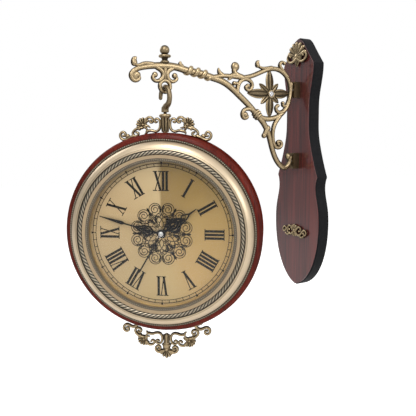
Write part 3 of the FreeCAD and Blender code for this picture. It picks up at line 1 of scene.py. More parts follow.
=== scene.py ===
import json
import math
import bmesh
import bpy
import numpy as np
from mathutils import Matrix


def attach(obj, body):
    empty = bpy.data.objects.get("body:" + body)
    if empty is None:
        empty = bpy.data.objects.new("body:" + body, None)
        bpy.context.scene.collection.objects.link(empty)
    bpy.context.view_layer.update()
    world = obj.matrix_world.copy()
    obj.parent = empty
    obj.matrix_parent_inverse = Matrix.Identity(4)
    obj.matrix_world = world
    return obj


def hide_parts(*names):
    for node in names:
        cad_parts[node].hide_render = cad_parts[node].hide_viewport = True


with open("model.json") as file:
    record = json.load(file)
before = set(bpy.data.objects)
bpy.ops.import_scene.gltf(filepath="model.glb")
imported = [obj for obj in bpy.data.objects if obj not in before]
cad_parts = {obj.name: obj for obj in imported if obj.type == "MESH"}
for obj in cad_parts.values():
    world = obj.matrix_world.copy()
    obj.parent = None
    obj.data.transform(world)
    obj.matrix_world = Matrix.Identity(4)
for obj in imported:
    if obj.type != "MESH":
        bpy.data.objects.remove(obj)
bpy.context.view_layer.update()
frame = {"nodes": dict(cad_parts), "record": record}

# Places and sizes in millimetres, as in the part's own frame
MM = 0.001
EYE = np.array([-246.5, 0.0, 79.7])
CLOCK = np.array([-246.5, 0.0, -115.245])
TURN = math.radians(-36.6)
BOARD_FRONT = -19.5
RIM_RADIUS = 133.0
SIDES = (("front", 1.0), ("rear", -1.0))

# Fineness: angle of sharp edges, welding distance in metres, step along rods, counts of rows and points
SHARP = math.radians(50.0)
WELD = 2e-6
ROD_STEP = 0.9
RING_COUNT, PETAL_COUNT, CAP_ROWS, BUTTON_ROWS, LOBE_ROWS = 16, 32, 4, 9, 8
PETAL_ROWS, LEAF_ROWS, WIRE_ROWS, TWIST_ROWS = 20, 14, 40, 48


# Placing: drawings are (across, up, out) and land in the part's frame

def on_bracket(p):
    """Bracket drawing: across = toward the wall from the eye, up from the eye, out = along Y."""
    return EYE + p[:, [0, 2, 1]]


def on_eye(p):
    """Hook drawing: across = along Y, up from the eye, out = toward the wall."""
    return EYE + p[:, [2, 0, 1]]


def on_board(p, height):
    """Relief on the board's front: across = along Y, out = away from the wall."""
    return np.stack([BOARD_FRONT - p[:, 2], -p[:, 0], height + p[:, 1]], axis=1)


def on_clock(p, side=1.0):
    """Clock drawing: across = right, up, out = away from the clock's mid-plane; side -1 is the rear face."""
    across, out = side * p[:, 0], side * p[:, 2]
    c, s = math.cos(TURN), math.sin(TURN)
    return CLOCK + np.stack([across * c + out * s, across * s - out * c, p[:, 1]], axis=1)


# Surfaces

def outward(points, quads):
    """Quads turned so that the shell's volume, a sum over its corner tetrahedra, is positive."""
    a, b, c, d = (points[quads[:, k]] for k in range(4))
    volume = sum(np.einsum("ij,ij->i", a, half).sum() for half in (np.cross(b, c), np.cross(c, d)))
    return quads[:, ::-1] if volume < 0 else quads


class Shells:
    """A set of closed shells, each a grid of points, kept as arrays until it becomes one mesh."""

    def __init__(self):
        self.points, self.faces, self.relief, self.count = [], [], [], 0

    def add(self, grid, relief, loop=False):
        """Grid of rows x ring points; rings close on themselves, and rows too when loop is set."""
        rows, ring = grid.shape[:2]
        here = np.arange(rows * ring).reshape(rows, ring)
        start = here if loop else here[:-1]
        onward = np.roll(here, -1, axis=0) if loop else here[1:]
        quads = np.stack([start, np.roll(start, -1, 1), np.roll(onward, -1, 1), onward], axis=2)
        points = grid.reshape(-1, 3)
        self.points.append(points)
        self.faces.append(outward(points, quads.reshape(-1, 4)) + self.count)
        self.relief.append(np.broadcast_to(relief, (rows, ring)).reshape(-1))
        self.count += rows * ring

    def piece(self, name, place, body, slot, material, replaced=(), smooth=True):
        """Make the mesh object, set it on its body and hide the CAD nodes that it stands for."""
        points = place(np.concatenate(self.points)) * MM
        faces = outward(points, np.concatenate(self.faces))
        mesh = bpy.data.meshes.new(name)
        mesh.from_pydata(points.tolist(), [], faces.tolist())
        layer = mesh.attributes.new("relief", "FLOAT", "POINT")
        layer.data.foreach_set("value", np.concatenate(self.relief).astype(np.float32))
        welded = bmesh.new()
        welded.from_mesh(mesh)
        bmesh.ops.remove_doubles(welded, verts=welded.verts, dist=WELD)
        welded.to_mesh(mesh)
        welded.free()
        mesh.polygons.foreach_set("use_smooth", np.full(len(mesh.polygons), smooth))
        mesh.set_sharp_from_angle(angle=SHARP)
        mesh.materials.append(material)
        obj = bpy.data.objects.new(name, mesh)
        bpy.context.collection.objects.link(obj)
        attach(obj, body)
        if replaced:
            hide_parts(*replaced)


def round_turn(count):
    """Angles of points spaced evenly round a whole turn, in radians."""
    return 2 * np.pi * np.arange(count) / count


def direction(path):
    """Unit direction along a line of points, from the differences of neighbours."""
    run = np.gradient(path, axis=0)
    return run / np.linalg.norm(run, axis=1)[:, None]


def arc(centre, radius, start, end, count):
    """Points on a circle between two angles in degrees."""
    angle = np.radians(np.linspace(start, end, count))
    return np.stack([centre[0] + radius * np.cos(angle), centre[1] + radius * np.sin(angle)], axis=1)


def volute(cx, cz, outer, inner, start, turns):
    """Spiral about a centre: its radius runs evenly from outer to inner as it turns."""
    t = np.linspace(0, 1, 40)
    r = outer + (inner - outer) * t
    a = np.radians(start + 360 * turns * t)
    return np.stack([cx + r * np.cos(a), cz + r * np.sin(a)], axis=1)


def knots_of(points):
    """Lengths along the broken line through the points, from the first one to each."""
    return np.r_[0, np.cumsum(np.linalg.norm(np.diff(points, axis=0), axis=1))]


def spline(points, count):
    """Natural cubic spline through the points with chord lengths as knots, sampled evenly."""
    p = np.asarray(points, float)
    knots = knots_of(p)
    h = np.diff(knots)
    n = len(p)
    system = np.eye(n)
    right = np.zeros_like(p)
    mid = np.arange(1, n - 1)
    system[mid, mid - 1] = h[:-1]
    system[mid, mid] = 2 * (h[:-1] + h[1:])
    system[mid, mid + 1] = h[1:]
    slope = np.diff(p, axis=0) / h[:, None]
    right[1:-1] = 6 * np.diff(slope, axis=0)
    bend = np.linalg.solve(system, right)
    t = np.linspace(0, knots[-1], count)
    j = np.clip(np.searchsorted(knots, t, side="right") - 1, 0, n - 2)
    a, b, w = (knots[j + 1] - t)[:, None], (t - knots[j])[:, None], h[j][:, None]
    bent = (bend[j] * a ** 3 + bend[j + 1] * b ** 3) / (6 * w)
    return bent + (p[j] / w - bend[j] * w / 6) * a + (p[j + 1] / w - bend[j + 1] * w / 6) * b


RING = round_turn(RING_COUNT)
PETAL_RING = round_turn(PETAL_COUNT)
HIGH = np.sin(RING) ** 2
CAP = np.linspace(0, np.pi / 2, CAP_ROWS + 1)[1:]
RIB_WIDTH = 0.22


def swept(path, half, deep, lift=0.0, ring=RING, fold=0.0):
    """Oval section carried along a path in the drawing's plane: half wide across it and deep out of it,
    with the two ends closed by quarter rounds; fold raises a rib along the middle."""
    run = direction(path)
    head = path[:1] - run[:1] * half[0] * np.sin(CAP[::-1])[:, None]
    tail = path[-1:] + run[-1:] * half[-1] * np.sin(CAP)[:, None]
    path = np.concatenate([head, path, tail])
    run = np.concatenate([np.repeat(run[:1], CAP_ROWS, 0), run, np.repeat(run[-1:], CAP_ROWS, 0)])
    ease = np.cos(CAP)
    half, deep = (np.concatenate([v[0] * ease[::-1], v, v[-1] * ease]) for v in (half, deep))
    across = half[:, None] * np.cos(ring)
    rib = 1 - fold + fold * np.exp(-(np.cos(ring) / RIB_WIDTH) ** 2)
    out = deep[:, None] * np.sin(ring) * rib + lift
    return np.dstack([path[:, :1] - run[:, 1:] * across, path[:, 1:] + run[:, :1] * across, out])


def scroll(shells, points, wide, narrow, deep, ball=0.0, lift=0.0):
    """Tapered rod along a spline, with a button of the given radius on its curled end."""
    count = int(knots_of(points)[-1] / ROD_STEP)
    path = spline(points, count)
    t = np.linspace(0, 1, count)
    half = (wide + (narrow - wide) * t) / 2
    shells.add(swept(path, half, deep / 2 * (1 - 0.25 * t), lift), HIGH)
    if ball:
        button(shells, points[-1], ball, deep / 2, lift)


def button(shells, at, radius, deep, lift=0.0):
    """Flattened ball: an ellipsoid turned about the drawing's normal."""
    lat = np.linspace(-np.pi / 2, np.pi / 2, BUTTON_ROWS)[:, None]
    reach = radius * np.cos(lat)
    out = np.broadcast_to(lift + deep * np.sin(lat), (BUTTON_ROWS, RING_COUNT))
    grid = np.dstack([at[0] + reach * np.cos(RING), at[1] + reach * np.sin(RING), out])
    shells.add(grid, np.abs(np.sin(lat)))


def lobe(shells, start, end, first, last, deep, lift=0.0):
    """Straight drop: an oval section growing from one end radius to the other, brighter toward its end."""
    t = np.linspace(0, 1, LOBE_ROWS)
    path = np.linspace(start, end, LOBE_ROWS)
    half = np.linspace(first, last, LOBE_ROWS)
    share = np.concatenate([np.zeros(CAP_ROWS), t, np.ones(CAP_ROWS)])[:, None]
    shells.add(swept(path, half, deep * (0.7 + 0.3 * t), lift), HIGH * (0.45 + 0.55 * share))


def fan(shells, x, z, reach, heading, sweep, lobes, deep, lift=0.0, pointed=0.0):
    """Shell of drops fanned about a heading in degrees; pointed shortens the drops toward its sides."""
    hub = np.array([x, z])
    for place in np.arange(lobes) / (lobes - 1) - 0.5:
        angle = math.radians(heading + sweep * place)
        long = reach * (1 - 2 * pointed * abs(place))
        tip = long * math.radians(sweep) / (2 * (lobes - 1)) * 0.82
        aim = np.array([math.cos(angle), math.sin(angle)])
        lobe(shells, hub + aim * long * 0.2, hub + aim * (long - tip), tip * 0.4, tip, deep, lift)
    button(shells, hub, reach * 0.55 * (1 - pointed), deep * 0.45, lift)
    button(shells, hub, reach * 0.24, deep * 1.05, lift)


def petal_tone(base, rib, edge, place, wide):
    """Relief round a petal: a base, a bright middle rib, and bright edges at a share of its width."""
    c = np.abs(np.cos(PETAL_RING))
    return base + rib * np.exp(-(c / 0.3) ** 2) + edge * np.exp(-((c - place) / wide) ** 2)


def petal(shells, start, end, half, deep, lift=0.0, blunt=0.7):
    """Petal: width follows a half sine wave to a power, with a raised middle rib and thin bright edges."""
    t = np.linspace(0.02, 0.98, PETAL_ROWS)
    path = np.asarray(start, float) + (np.asarray(end, float) - start) * t[:, None]
    width = half * np.sin(np.pi * t) ** blunt + 0.25
    grid = swept(path, width, deep * (0.35 + 0.65 * np.sin(np.pi * t) ** 0.5), lift, PETAL_RING, 0.42)
    shells.add(grid, petal_tone(0.16, 0.44, 0.8, 0.85, 0.15))


def leaf(shells, base, tip, half, deep=4.0):
    """Fat leaf tip: a drop whose width swells early and runs out to a point that leans forward."""
    t = np.linspace(0, 1, LEAF_ROWS)
    base, tip = np.asarray(base, float), np.asarray(tip, float)
    lean = np.array([-(tip - base)[1], (tip - base)[0]]) * 0.16
    path = base + (tip - base) * t[:, None] + lean * np.sin(np.pi * t)[:, None]
    width = half * (1 - t) ** 0.7 * (0.75 + 0.6 * t) + 0.5
    shells.add(swept(path, width, deep * (1 - 0.5 * t)), HIGH)


def wire_ring(shells, at, radius, wire, lift=0.0):
    """Ring of round wire lying in the drawing's plane."""
    theta = round_turn(WIRE_ROWS)[:, None]
    reach = radius + wire * np.cos(RING)
    out = np.broadcast_to(lift + wire * np.sin(RING), (WIRE_ROWS, RING_COUNT))
    grid = np.dstack([at[0] + reach * np.cos(theta), at[1] + reach * np.sin(theta), out])
    shells.add(grid, HIGH, loop=True)


def twist(shells, points, turns, reach, wire):
    """Wire of round section wound round a spline path in the drawing's plane."""
    count = int(TWIST_ROWS * turns)
    path = spline(points, count)
    run = direction(path)
    side = np.stack([-run[:, 1], run[:, 0], np.zeros(count)], axis=1)
    up = np.array([0.0, 0.0, 1.0])
    turn = np.linspace(0, 2 * np.pi * turns, count)[:, None]
    spoke = side * np.cos(turn) + up * np.sin(turn)
    line = np.concatenate([path, np.zeros((count, 1))], axis=1) + spoke * reach
    cross = np.cross(direction(line), spoke)
    swell = np.sqrt(np.clip(1 - np.abs(np.linspace(-1, 1, count)) ** 12, 0, 1))[:, None, None] * wire
    ring = RING[None, :, None]
    grid = line[:, None] + swell * (np.cos(ring) * spoke[:, None] + np.sin(ring) * cross[:, None])
    shells.add(grid, 0.5 + 0.5 * np.cos(RING))


def lathe(shells, profile, relief, count=48, flutes=None):
    """Outline of (radius, height) pairs turned about the drawing's up axis; flutes alters the radius."""
    profile = np.asarray(profile, float)
    angle = round_turn(count)
    radius = profile[:, :1] * np.ones(count)
    if flutes is not None:
        radius = flutes(radius, profile[:, 1:], angle)
    height = np.repeat(profile[:, 1:], count, 1)
    shells.add(np.dstack([radius * np.cos(angle), height, radius * np.sin(angle)]), relief)


def torus(shells, radius, depth, rows, ring, minor, relief):
    """Ring about the clock's axis: minor(theta, phi) gives the section's radius."""
    theta = round_turn(rows)[:, None]
    phi = round_turn(ring)[None]
    r = minor(theta, phi)
    reach = radius + r * np.cos(phi)
    grid = np.dstack([reach * np.sin(theta), reach * np.cos(theta), depth + r * np.sin(phi)])
    shells.add(grid, relief(theta, phi), loop=True)


def plate(shells, path, half, low, high):
    """Flat ribbon with a square section between two heights over the drawing."""
    path = np.asarray(path, float)
    run = direction(path)
    side = np.stack([-run[:, 1], run[:, 0]], axis=1) * np.broadcast_to(half, (len(path),))[:, None]
    rim = np.stack([path + side, path + side, path - side, path - side], axis=1)
    level = np.broadcast_to(np.array([low, high, high, low]), rim.shape[:2])
    ends = [np.broadcast_to(np.append(p, (low + high) / 2), (1, 4, 3)) for p in (path[0], path[-1])]
    shells.add(np.concatenate([ends[0], np.dstack([rim, level]), ends[1]]), 0.5)


def band(shells, inner, outer, low, high, rows=180):
    """Flat ring with a square section about the clock's axis."""
    theta = round_turn(rows)[:, None]
    reach = np.array([[inner, outer, outer, inner]])
    level = np.broadcast_to(np.array([low, low, high, high]), (rows, 4))
    shells.add(np.dstack([reach * np.sin(theta), reach * np.cos(theta), level]), 0.5, loop=True)


# Materials

FLOAT, COLOUR = "NodeSocketFloat", "NodeSocketColor"
MATH, VECTOR = "ShaderNodeMath", "ShaderNodeVectorMath"


def new_group(name, inputs, outputs):
    """Shader node group with named float or colour sockets: its tree, what it takes and where it gives."""
    tree = bpy.data.node_groups.new(name, "ShaderNodeTree")
    for way, sockets in (("INPUT", inputs), ("OUTPUT", outputs)):
        for label, kind in sockets:
            tree.interface.new_socket(label, in_out=way, socket_type=kind)
    return tree, tree.nodes.new("NodeGroupInput").outputs, tree.nodes.new("NodeGroupOutput")


def feed(tree, value, socket):
    """Link an output into a node's input, or set the input to a plain value."""
    if isinstance(value, bpy.types.NodeSocket):
        tree.links.new(value, socket)
    else:
        socket.default_value = value


def fed(tree, node, inputs):
    """The node itself, with its named inputs linked to outputs or set to plain values."""
    for label, value in inputs.items():
        feed(tree, value, node.inputs[label.replace("_", " ")])
    return node


def made(tree, kind, **inputs):
    """Outputs of a new node with these inputs."""
    return fed(tree, tree.nodes.new(kind), inputs).outputs


def worked(tree, kind, operation, *values):
    """Outputs of a math node, plain or vector, fed in order with outputs or plain values."""
    node = tree.nodes.new(kind)
    node.operation = operation
    for value, socket in zip(values, node.inputs):
        feed(tree, value, socket)
    return node.outputs


def object_noise(tree, scale, detail, stretch=(1, 1, 1)):
    """Noise over Object coordinates, drawn out by a stretch."""
    place = made(tree, "ShaderNodeTexCoord")["Object"]
    mapped = made(tree, "ShaderNodeMapping", Vector=place, Scale=stretch)["Vector"]
    return made(tree, "ShaderNodeTexNoise", Vector=mapped, Scale=scale, Detail=detail)["Fac"]


def mix_colours(tree, factor, first, second):
    """Colour mix; factor, first and second are outputs or plain values."""
    mix = tree.nodes.new("ShaderNodeMix")
    mix.data_type = "RGBA"
    for value, place in ((factor, 0), (first, 6), (second, 7)):
        feed(tree, value, mix.inputs[place])
    return mix.outputs[2]


def spread(tree, value, low, high, to_low=0.0, to_high=1.0):
    """Map a value's range onto another, clamped."""
    return made(tree, "ShaderNodeMapRange", Value=value, From_Min=low, From_Max=high, To_Min=to_low,
                To_Max=to_high)["Result"]


def tarnish_group():
    """Tarnish: two colours mixed by relief and by cloudy noise, with a roughness and a fine height."""
    tree, take, give = new_group("tarnish", [("Relief", FLOAT), ("Bright", COLOUR), ("Dark", COLOUR)],
                                 [("Color", COLOUR), ("Roughness", FLOAT), ("Height", FLOAT)])
    cloud = object_noise(tree, 160.0, 3.0)
    cloudy = worked(tree, MATH, "MULTIPLY_ADD", cloud, 0.16, take["Relief"])[0]
    share = spread(tree, cloudy, 0.28, 0.92)
    fed(tree, give, {"Color": mix_colours(tree, share, take["Dark"], take["Bright"]),
                     "Roughness": spread(tree, share, 0.0, 1.0, 0.52, 0.33),
                     "Height": object_noise(tree, 900.0, 2.0)})
    return tree


def grain_group():
    """Wood grain: long dark pores and broad figure along one direction of the object."""
    tree, take, give = new_group("grain", [("Light", COLOUR), ("Dark", COLOUR)],
                                 [("Color", COLOUR), ("Height", FLOAT)])
    figure = object_noise(tree, 60.0, 5.0, (1.0, 1.0, 0.05))
    pores = object_noise(tree, 600.0, 2.0, (1.0, 1.0, 0.02))
    share = spread(tree, worked(tree, MATH, "MULTIPLY_ADD", pores, 1.1, figure)[0], 0.80, 1.30)
    colour = mix_colours(tree, share, take["Dark"], take["Light"])
    fed(tree, give, {"Color": colour, "Height": pores})
    return tree


def dial_place_group():
    """Place on the clock's face: radius in millimetres from its axis, and the turn from twelve as a share."""
    tree, _, give = new_group("dial_place", [], [("Radius", FLOAT), ("Turn", FLOAT)])
    place = made(tree, "ShaderNodeTexCoord")["Object"]
    moved = worked(tree, VECTOR, "SUBTRACT", place, tuple(CLOCK * MM))[0]
    axes = ((math.cos(TURN), math.sin(TURN), 0.0), (0.0, 0.0, 1.0))
    across, up = (worked(tree, VECTOR, "DOT_PRODUCT", moved, axis)["Value"] for axis in axes)
    flat = made(tree, "ShaderNodeCombineXYZ", X=across, Y=up)[0]
    reach = worked(tree, VECTOR, "LENGTH", flat)["Value"]
    angle = worked(tree, MATH, "ARCTAN2", across, up)[0]
    share = worked(tree, MATH, "MULTIPLY", angle, 1 / (2 * math.pi))[0]
    fed(tree, give, {"Radius": worked(tree, MATH, "MULTIPLY", reach, 1 / MM)[0],
                     "Turn": worked(tree, MATH, "WRAP", share, 1.0, 0.0)[0]})
    return tree


def ramp(tree, value, stops):
    """Colour ramp over 0 to 1 with straight blends."""
    node = tree.nodes.new("ShaderNodeValToRGB")
    elements = node.color_ramp.elements
    while len(elements) < len(stops):
        elements.new(0.5)
    for element, (place, colour) in zip(elements, stops):
        element.position = place
        element.color = (*colour, 1)
    tree.links.new(value, node.inputs["Fac"])
    return node.outputs["Color"]


TARNISH = tarnish_group()
DIAL_PLACE = dial_place_group()
GRAIN = grain_group()


def plain_material(name, **sockets):
    """Material with one Principled shader and plain socket values."""
    material = bpy.data.materials.new(name)
    material.use_nodes = True
    tree = material.node_tree
    return material, tree, fed(tree, tree.nodes["Principled BSDF"], sockets)


def place_group(tree, group, **sockets):
    """Outputs of a group node with these inputs."""
    node = tree.nodes.new("ShaderNodeGroup")
    node.node_tree = group
    return fed(tree, node, sockets).outputs


def bump(tree, height, strength, distance):
    """Normal of a surface raised by a height."""
    return made(tree, "ShaderNodeBump", Height=height, Strength=strength, Distance=distance)["Normal"]


def metal(name, bright, dark, relief=None):
    """Tarnished metal; relief is a number, or None to read the piece's own relief."""
    material, tree, shader = plain_material(name, Metallic=0.9)
    if relief is None:
        layer = tree.nodes.new("ShaderNodeAttribute")
        layer.attribute_name = "relief"
        relief = layer.outputs["Fac"]
    group = place_group(tree, TARNISH, Relief=relief, Bright=(*bright, 1), Dark=(*dark, 1))
    fed(tree, shader, {"Base Color": group["Color"], "Roughness": group["Roughness"],
                       "Normal": bump(tree, group["Height"], 0.02, 0.0002)})
    return material


def wood(name, light, dark, roughness, coat, coat_roughness, shine, dull_edge=False):
    """Lacquered wood; with dull_edge its lacquer's gloss fades where the surface turns away."""
    material, tree, shader = plain_material(name, Roughness=roughness, Coat_Weight=coat,
                                            Coat_Roughness=coat_roughness, Specular_IOR_Level=shine)
    group = place_group(tree, GRAIN, Light=(*light, 1), Dark=(*dark, 1))
    fed(tree, shader, {"Base Color": group["Color"], "Normal": bump(tree, group["Height"], 0.1, 0.0003)})
    if dull_edge:
        facing = made(tree, "ShaderNodeLayerWeight")["Facing"]
        fed(tree, shader, {"Coat Weight": spread(tree, facing, 0.4, 0.75, coat, 0.0)})
    return material


def speckled(name, light, dark, roughness, metallic=0.0, scale=300.0):
    """Moulded or painted surface: two near colours in fine cloudy noise."""
    material, tree, shader = plain_material(name, Roughness=roughness, Metallic=metallic,
                                            Specular_IOR_Level=0.1)
    noise = object_noise(tree, scale, 3.0)
    colour = mix_colours(tree, spread(tree, noise, 0.3, 0.7), (*dark, 1), (*light, 1))
    fed(tree, shader, {"Base Color": colour, "Normal": bump(tree, noise, 0.08, 0.0002)})
    return material


def dome_glass():
    """Clear glass that lets light through to the dial."""
    material, tree, shader = plain_material("dome_glass", Base_Color=(0.99, 0.99, 0.98, 1), Roughness=0.0,
                                            IOR=1.3, Transmission_Weight=1.0)
    shadow = made(tree, "ShaderNodeLightPath")["Is Shadow Ray"]
    clear = made(tree, "ShaderNodeBsdfTransparent")[0]
    mix = tree.nodes.new("ShaderNodeMixShader")
    for value, socket in zip((shadow, shader.outputs[0], clear), mix.inputs):
        tree.links.new(value, socket)
    fed(tree, tree.nodes["Material Output"], {"Surface": mix.outputs[0]})
    return material


def bezel_rings_and_painted_shading():
    """Lacquered bezel whose rings take their colours by radius, with painted shading: a darker copy of the
    pale lacquer beside the rope and on the convex band's outer slope.
    """
    material, tree, shader = plain_material("champagne_lacquer_painted_shading", Metallic=0.72, Roughness=0.36)
    place = place_group(tree, DIAL_PLACE)
    low, high = 90.0, 130.0
    dark, ribs = (0.055, 0.045, 0.032), (0.16, 0.13, 0.095)
    # The darker copy of the pale lacquer is painted shading, not a colour of its own.
    pale, painted_shade, pink = (0.60, 0.48, 0.33), (0.44, 0.345, 0.23), (0.42, 0.310, 0.19)
    stops = [(96, ribs), (100.2, ribs), (100.5, pink), (104.4, pink), (104.7, dark), (111.2, dark),
             (111.6, painted_shade), (113.2, painted_shade), (113.5, dark), (113.8, pale), (118.0, pale), (121.8, painted_shade),
             (122.1, dark), (126, dark)]
    colour = ramp(tree, spread(tree, place["Radius"], low, high),
                  [((r - low) / (high - low), c) for r, c in stops])
    cloud = spread(tree, object_noise(tree, 90.0, 2.0), 0.3, 0.7, 0.0, 0.12)
    fed(tree, shader, {"Base Color": mix_colours(tree, cloud, colour, (0.30, 0.22, 0.13, 1))})
    return material


def dial_with_painted_sheen():
    """Gold dial plate with a painted sheen: a painted reflection set by the angle round the axis, darkest
    just past twelve and lightest just before it, mixed a little more with an even colour toward the centre.
    """
    material, tree, shader = plain_material("gold_dial", Metallic=0.5, Roughness=0.42)
    place = place_group(tree, DIAL_PLACE)
    # Painted sheen: colour set by the angle from twelve stands in for the reflection of light on the dial.
    painted_sheen = ramp(tree, place["Turn"], [
        (0.0, (0.205, 0.130, 0.038)), (0.10, (0.228, 0.140, 0.032)), (0.15, (0.265, 0.170, 0.048)),
        (0.19, (0.325, 0.212, 0.070)), (0.27, (0.340, 0.217, 0.070)), (0.40, (0.400, 0.262, 0.104)),
        (0.48, (0.400, 0.292, 0.135)), (0.65, (0.384, 0.278, 0.141)), (0.85, (0.426, 0.304, 0.155)),
        (0.99, (0.466, 0.350, 0.188)), (1.0, (0.205, 0.130, 0.038))])
    even = (0.37, 0.265, 0.120, 1)
    fade = spread(tree, place["Radius"], 40.0, 70.0, 0.8, 1.0)
    colour = mix_colours(tree, fade, even, painted_sheen)
    streak = spread(tree, object_noise(tree, 500.0, 2.0), 0.3, 0.7, 0.0, 0.08)
    fed(tree, shader, {"Base Color": mix_colours(tree, streak, colour, (0.25, 0.18, 0.08, 1))})
    return material


BRASS_BRIGHT, BRASS_DARK = (0.375, 0.285, 0.165), (0.030, 0.021, 0.012)
CAST = metal("antique_casting", BRASS_BRIGHT, BRASS_DARK)
LOOKS = {
    "cast_brass": metal("antique_brass", BRASS_BRIGHT, BRASS_DARK, 0.75),
    "champagne_bezel": bezel_rings_and_painted_shading(),
    "dark_rope": metal("dark_rope", (0.37, 0.315, 0.23), (0.052, 0.046, 0.039)),
    "gold_dial": dial_with_painted_sheen(),
    "steel": metal("zinc_plate", (0.65, 0.66, 0.68), (0.4, 0.4, 0.42), 0.6),
    "red_wood": wood("red_drum", (0.138, 0.0175, 0.0100), (0.053, 0.0075, 0.0050), 0.34, 0.2, 0.3, 0.0, True),
    "board_veneer": wood("striped_veneer", (0.118, 0.0215, 0.0185), (0.035, 0.009, 0.0098),
                         0.35, 0.72, 0.04, 0.25),
    "board_black": speckled("black_edge", (0.007, 0.007, 0.008), (0.003, 0.003, 0.004), 0.55),
    # The crystal's near-white and dark grey speckles are painted glints: painted highlights and reflections
    # of cut facets.
    "crystal": speckled("crystal_painted_glints", (0.95, 0.95, 0.97), (0.16, 0.16, 0.17), 0.08, 0.5, 700.0),
    "dome_glass": dome_glass(),
    "movement_shell": speckled("movement_black", (0.03, 0.03, 0.032), (0.015, 0.015, 0.017), 0.55),
    "cell_jacket": speckled("cell_jacket", (0.12, 0.13, 0.17), (0.08, 0.09, 0.12), 0.35, 0.4),
    "circuit": speckled("circuit_green", (0.05, 0.22, 0.10), (0.03, 0.15, 0.07), 0.5),
    "wheel_plastic": speckled("wheel_cream", (0.86, 0.84, 0.79), (0.78, 0.76, 0.70), 0.5),
    "hand_black": speckled("hand_black", (0.006, 0.005, 0.004), (0.002, 0.002, 0.002), 0.5),
}
PRINT = speckled("dial_print", (0.004, 0.003, 0.003), (0.001, 0.001, 0.001), 0.9)
SILVER = metal("silver_cap", (0.52, 0.52, 0.52), (0.3, 0.3, 0.3), 0.8)
BEADING = metal("dark_beading", (0.22, 0.19, 0.14), (0.018, 0.016, 0.013))


def cast(shells, name, place, body, node):
    """Make the shells one brass casting that stands for a CAD node."""
    shells.piece(name, place, body, "cast_brass", CAST, [node])


def wear(node, material):
    """Give a CAD node one material."""
    worn = frame["nodes"][node].data.materials
    worn.clear()
    worn.append(material)


for row in frame["record"]["subparts"]:
    wear(row["node"], LOOKS[row["material_slot"]])
wear("bracket_feet", metal("dark_foot_brass", (0.20, 0.145, 0.078), (0.024, 0.016, 0.009), 0.6))


# Bracket casting: each rod has points from the eye, its first and last width, and its end button's radius

ARM_DEEP = 8.0
ROD_SWELL = 1.38
LEAF_SWELL = 1.5
ARM_RUNS = [
    ([(5, 27), (-17, 26), (-31, 23.5), (-43, 19), (-48.5, 12), (-43, 5.5), (-37, 9), (-39.5, 13)],
     7.4, 3.4, 3.2),
    ([(-18, 28), (-32, 27.6), (-41, 25.6), (-45, 29), (-41.4, 34.6)], 4.6, 2.0, 0),
    ([(-11, 24), (-3, 17), (-4, 11), (-9, 7), (-15, 7), (-18, 11), (-14.6, 14.4)], 5.0, 3.4, 2.9),
    ([(11, 24), (4, 18), (3.5, 13), (7, 8), (13, 7), (17.5, 11), (14.6, 14.4)], 5.0, 3.4, 2.9),
    ([(37, 22), (28, 24.6), (23, 28.4), (23.6, 33)], 4.6, 1.7, 0),
    ([(0, 27), (18, 26), (34, 22.5), (54, 20), (72, 15.5), (89, 11), (107, 1), (120, -9), (135, -21),
      (150, -35), (162, -47), (171, -62), (176, -77), (183, -96), (192, -109), (203, -115), (211, -110),
      (213, -103), (209.4, -97.8)], 7.4, 6.2, 3.9),
    ([(73, 15.5), (87, 18.2), (104, 18.8), (123, 18), (140, 21), (158, 28), (176, 33.5), (192, 32), (205, 23),
      (211.5, 9), (211.5, -6), (205, -23), (193, -35), (177, -40.5), (161, -40), (150, -35)], 4.6, 6.0, 0),
    ([(123, 18), (114, 21.6), (109.6, 27), (111.6, 32.6)], 7.0, 4.8, 5.0),
    ([(176, 35), (164, 33.5), (155, 34.5), (150.5, 38), (152, 43)], 4.6, 2.0, 0),
    ([(206, 23), (195, 34), (191.5, 40), (195.5, 44.5), (200, 43)], 4.6, 3.4, 2.2),
    ([(115, -6), (116, 4), (120, 11.6), (126.5, 15.4), (135.5, 14.8), (141, 9), (139.5, 2.6), (133.4, 0.4),
      (130, 4.4), (133.6, 6.4)], 5.0, 3.8, 2.5),
    ([(117, 6), (114, 9), (110, 9)], 4.6, 3.4, 2.4),
    ([(208, -17), (202, -27), (193.5, -31), (186.6, -28.6), (185.4, -23), (188.2, -21)], 6.4, 3.6, 2.2),
    ([(209, -13), (204, -20.5), (198, -20), (198, -16.6)], 5.0, 3.2, 2.0),
    ([(150, -34), (142, -28.4), (134.6, -26.8), (126.4, -29.8), (124.2, -36), (128.4, -40.6), (133, -38.4),
      (129.4, -35.4)], 5.0, 3.8, 3.2),
    ([(170, -55), (166.5, -61), (163.6, -66)], 7.0, 5.0, 3.0),
    ([(125, 17), (114, 20.6), (106, 20.8), (101, 16.4)], 6.4, 3.0, 0),
    ([(192, -37), (183, -49), (179.5, -62), (180.6, -74.5), (184.2, -82), (190.6, -84.6), (196.4, -80.4),
      (193.8, -75), (188.6, -76.4), (190.6, -79.2)], 5.4, 3.6, 2.1),
]
ARM_LEAVES = [((-43.8, 28), (-41, 36), 3.4), ((25, 27.4), (23, 34), 2.8), ((90, 19), (83.5, 29), 3.0),
              ((150.5, 37), (152.5, 44), 2.8), ((105, 20), (99.4, 13.4), 2.0)]
TWIST = [(28, 23.8), (41, 22), (55, 19.8), (70, 16.1)]
KNOT, KNOT_RUN, KNOT_ACROSS = np.array([150, -35]), np.array([0.68, -0.73]), np.array([0.73, 0.68])
FLOWER = (174, -4)
LONG_PETALS = ((133, -4), (210, -2), (172, 32), (173, -39))
SHORT_PETALS = ((155, 10), (188, 11), (158, -18), (189, -16))
PAD_PLACE, PAD_HALF = 213.2, 2.8


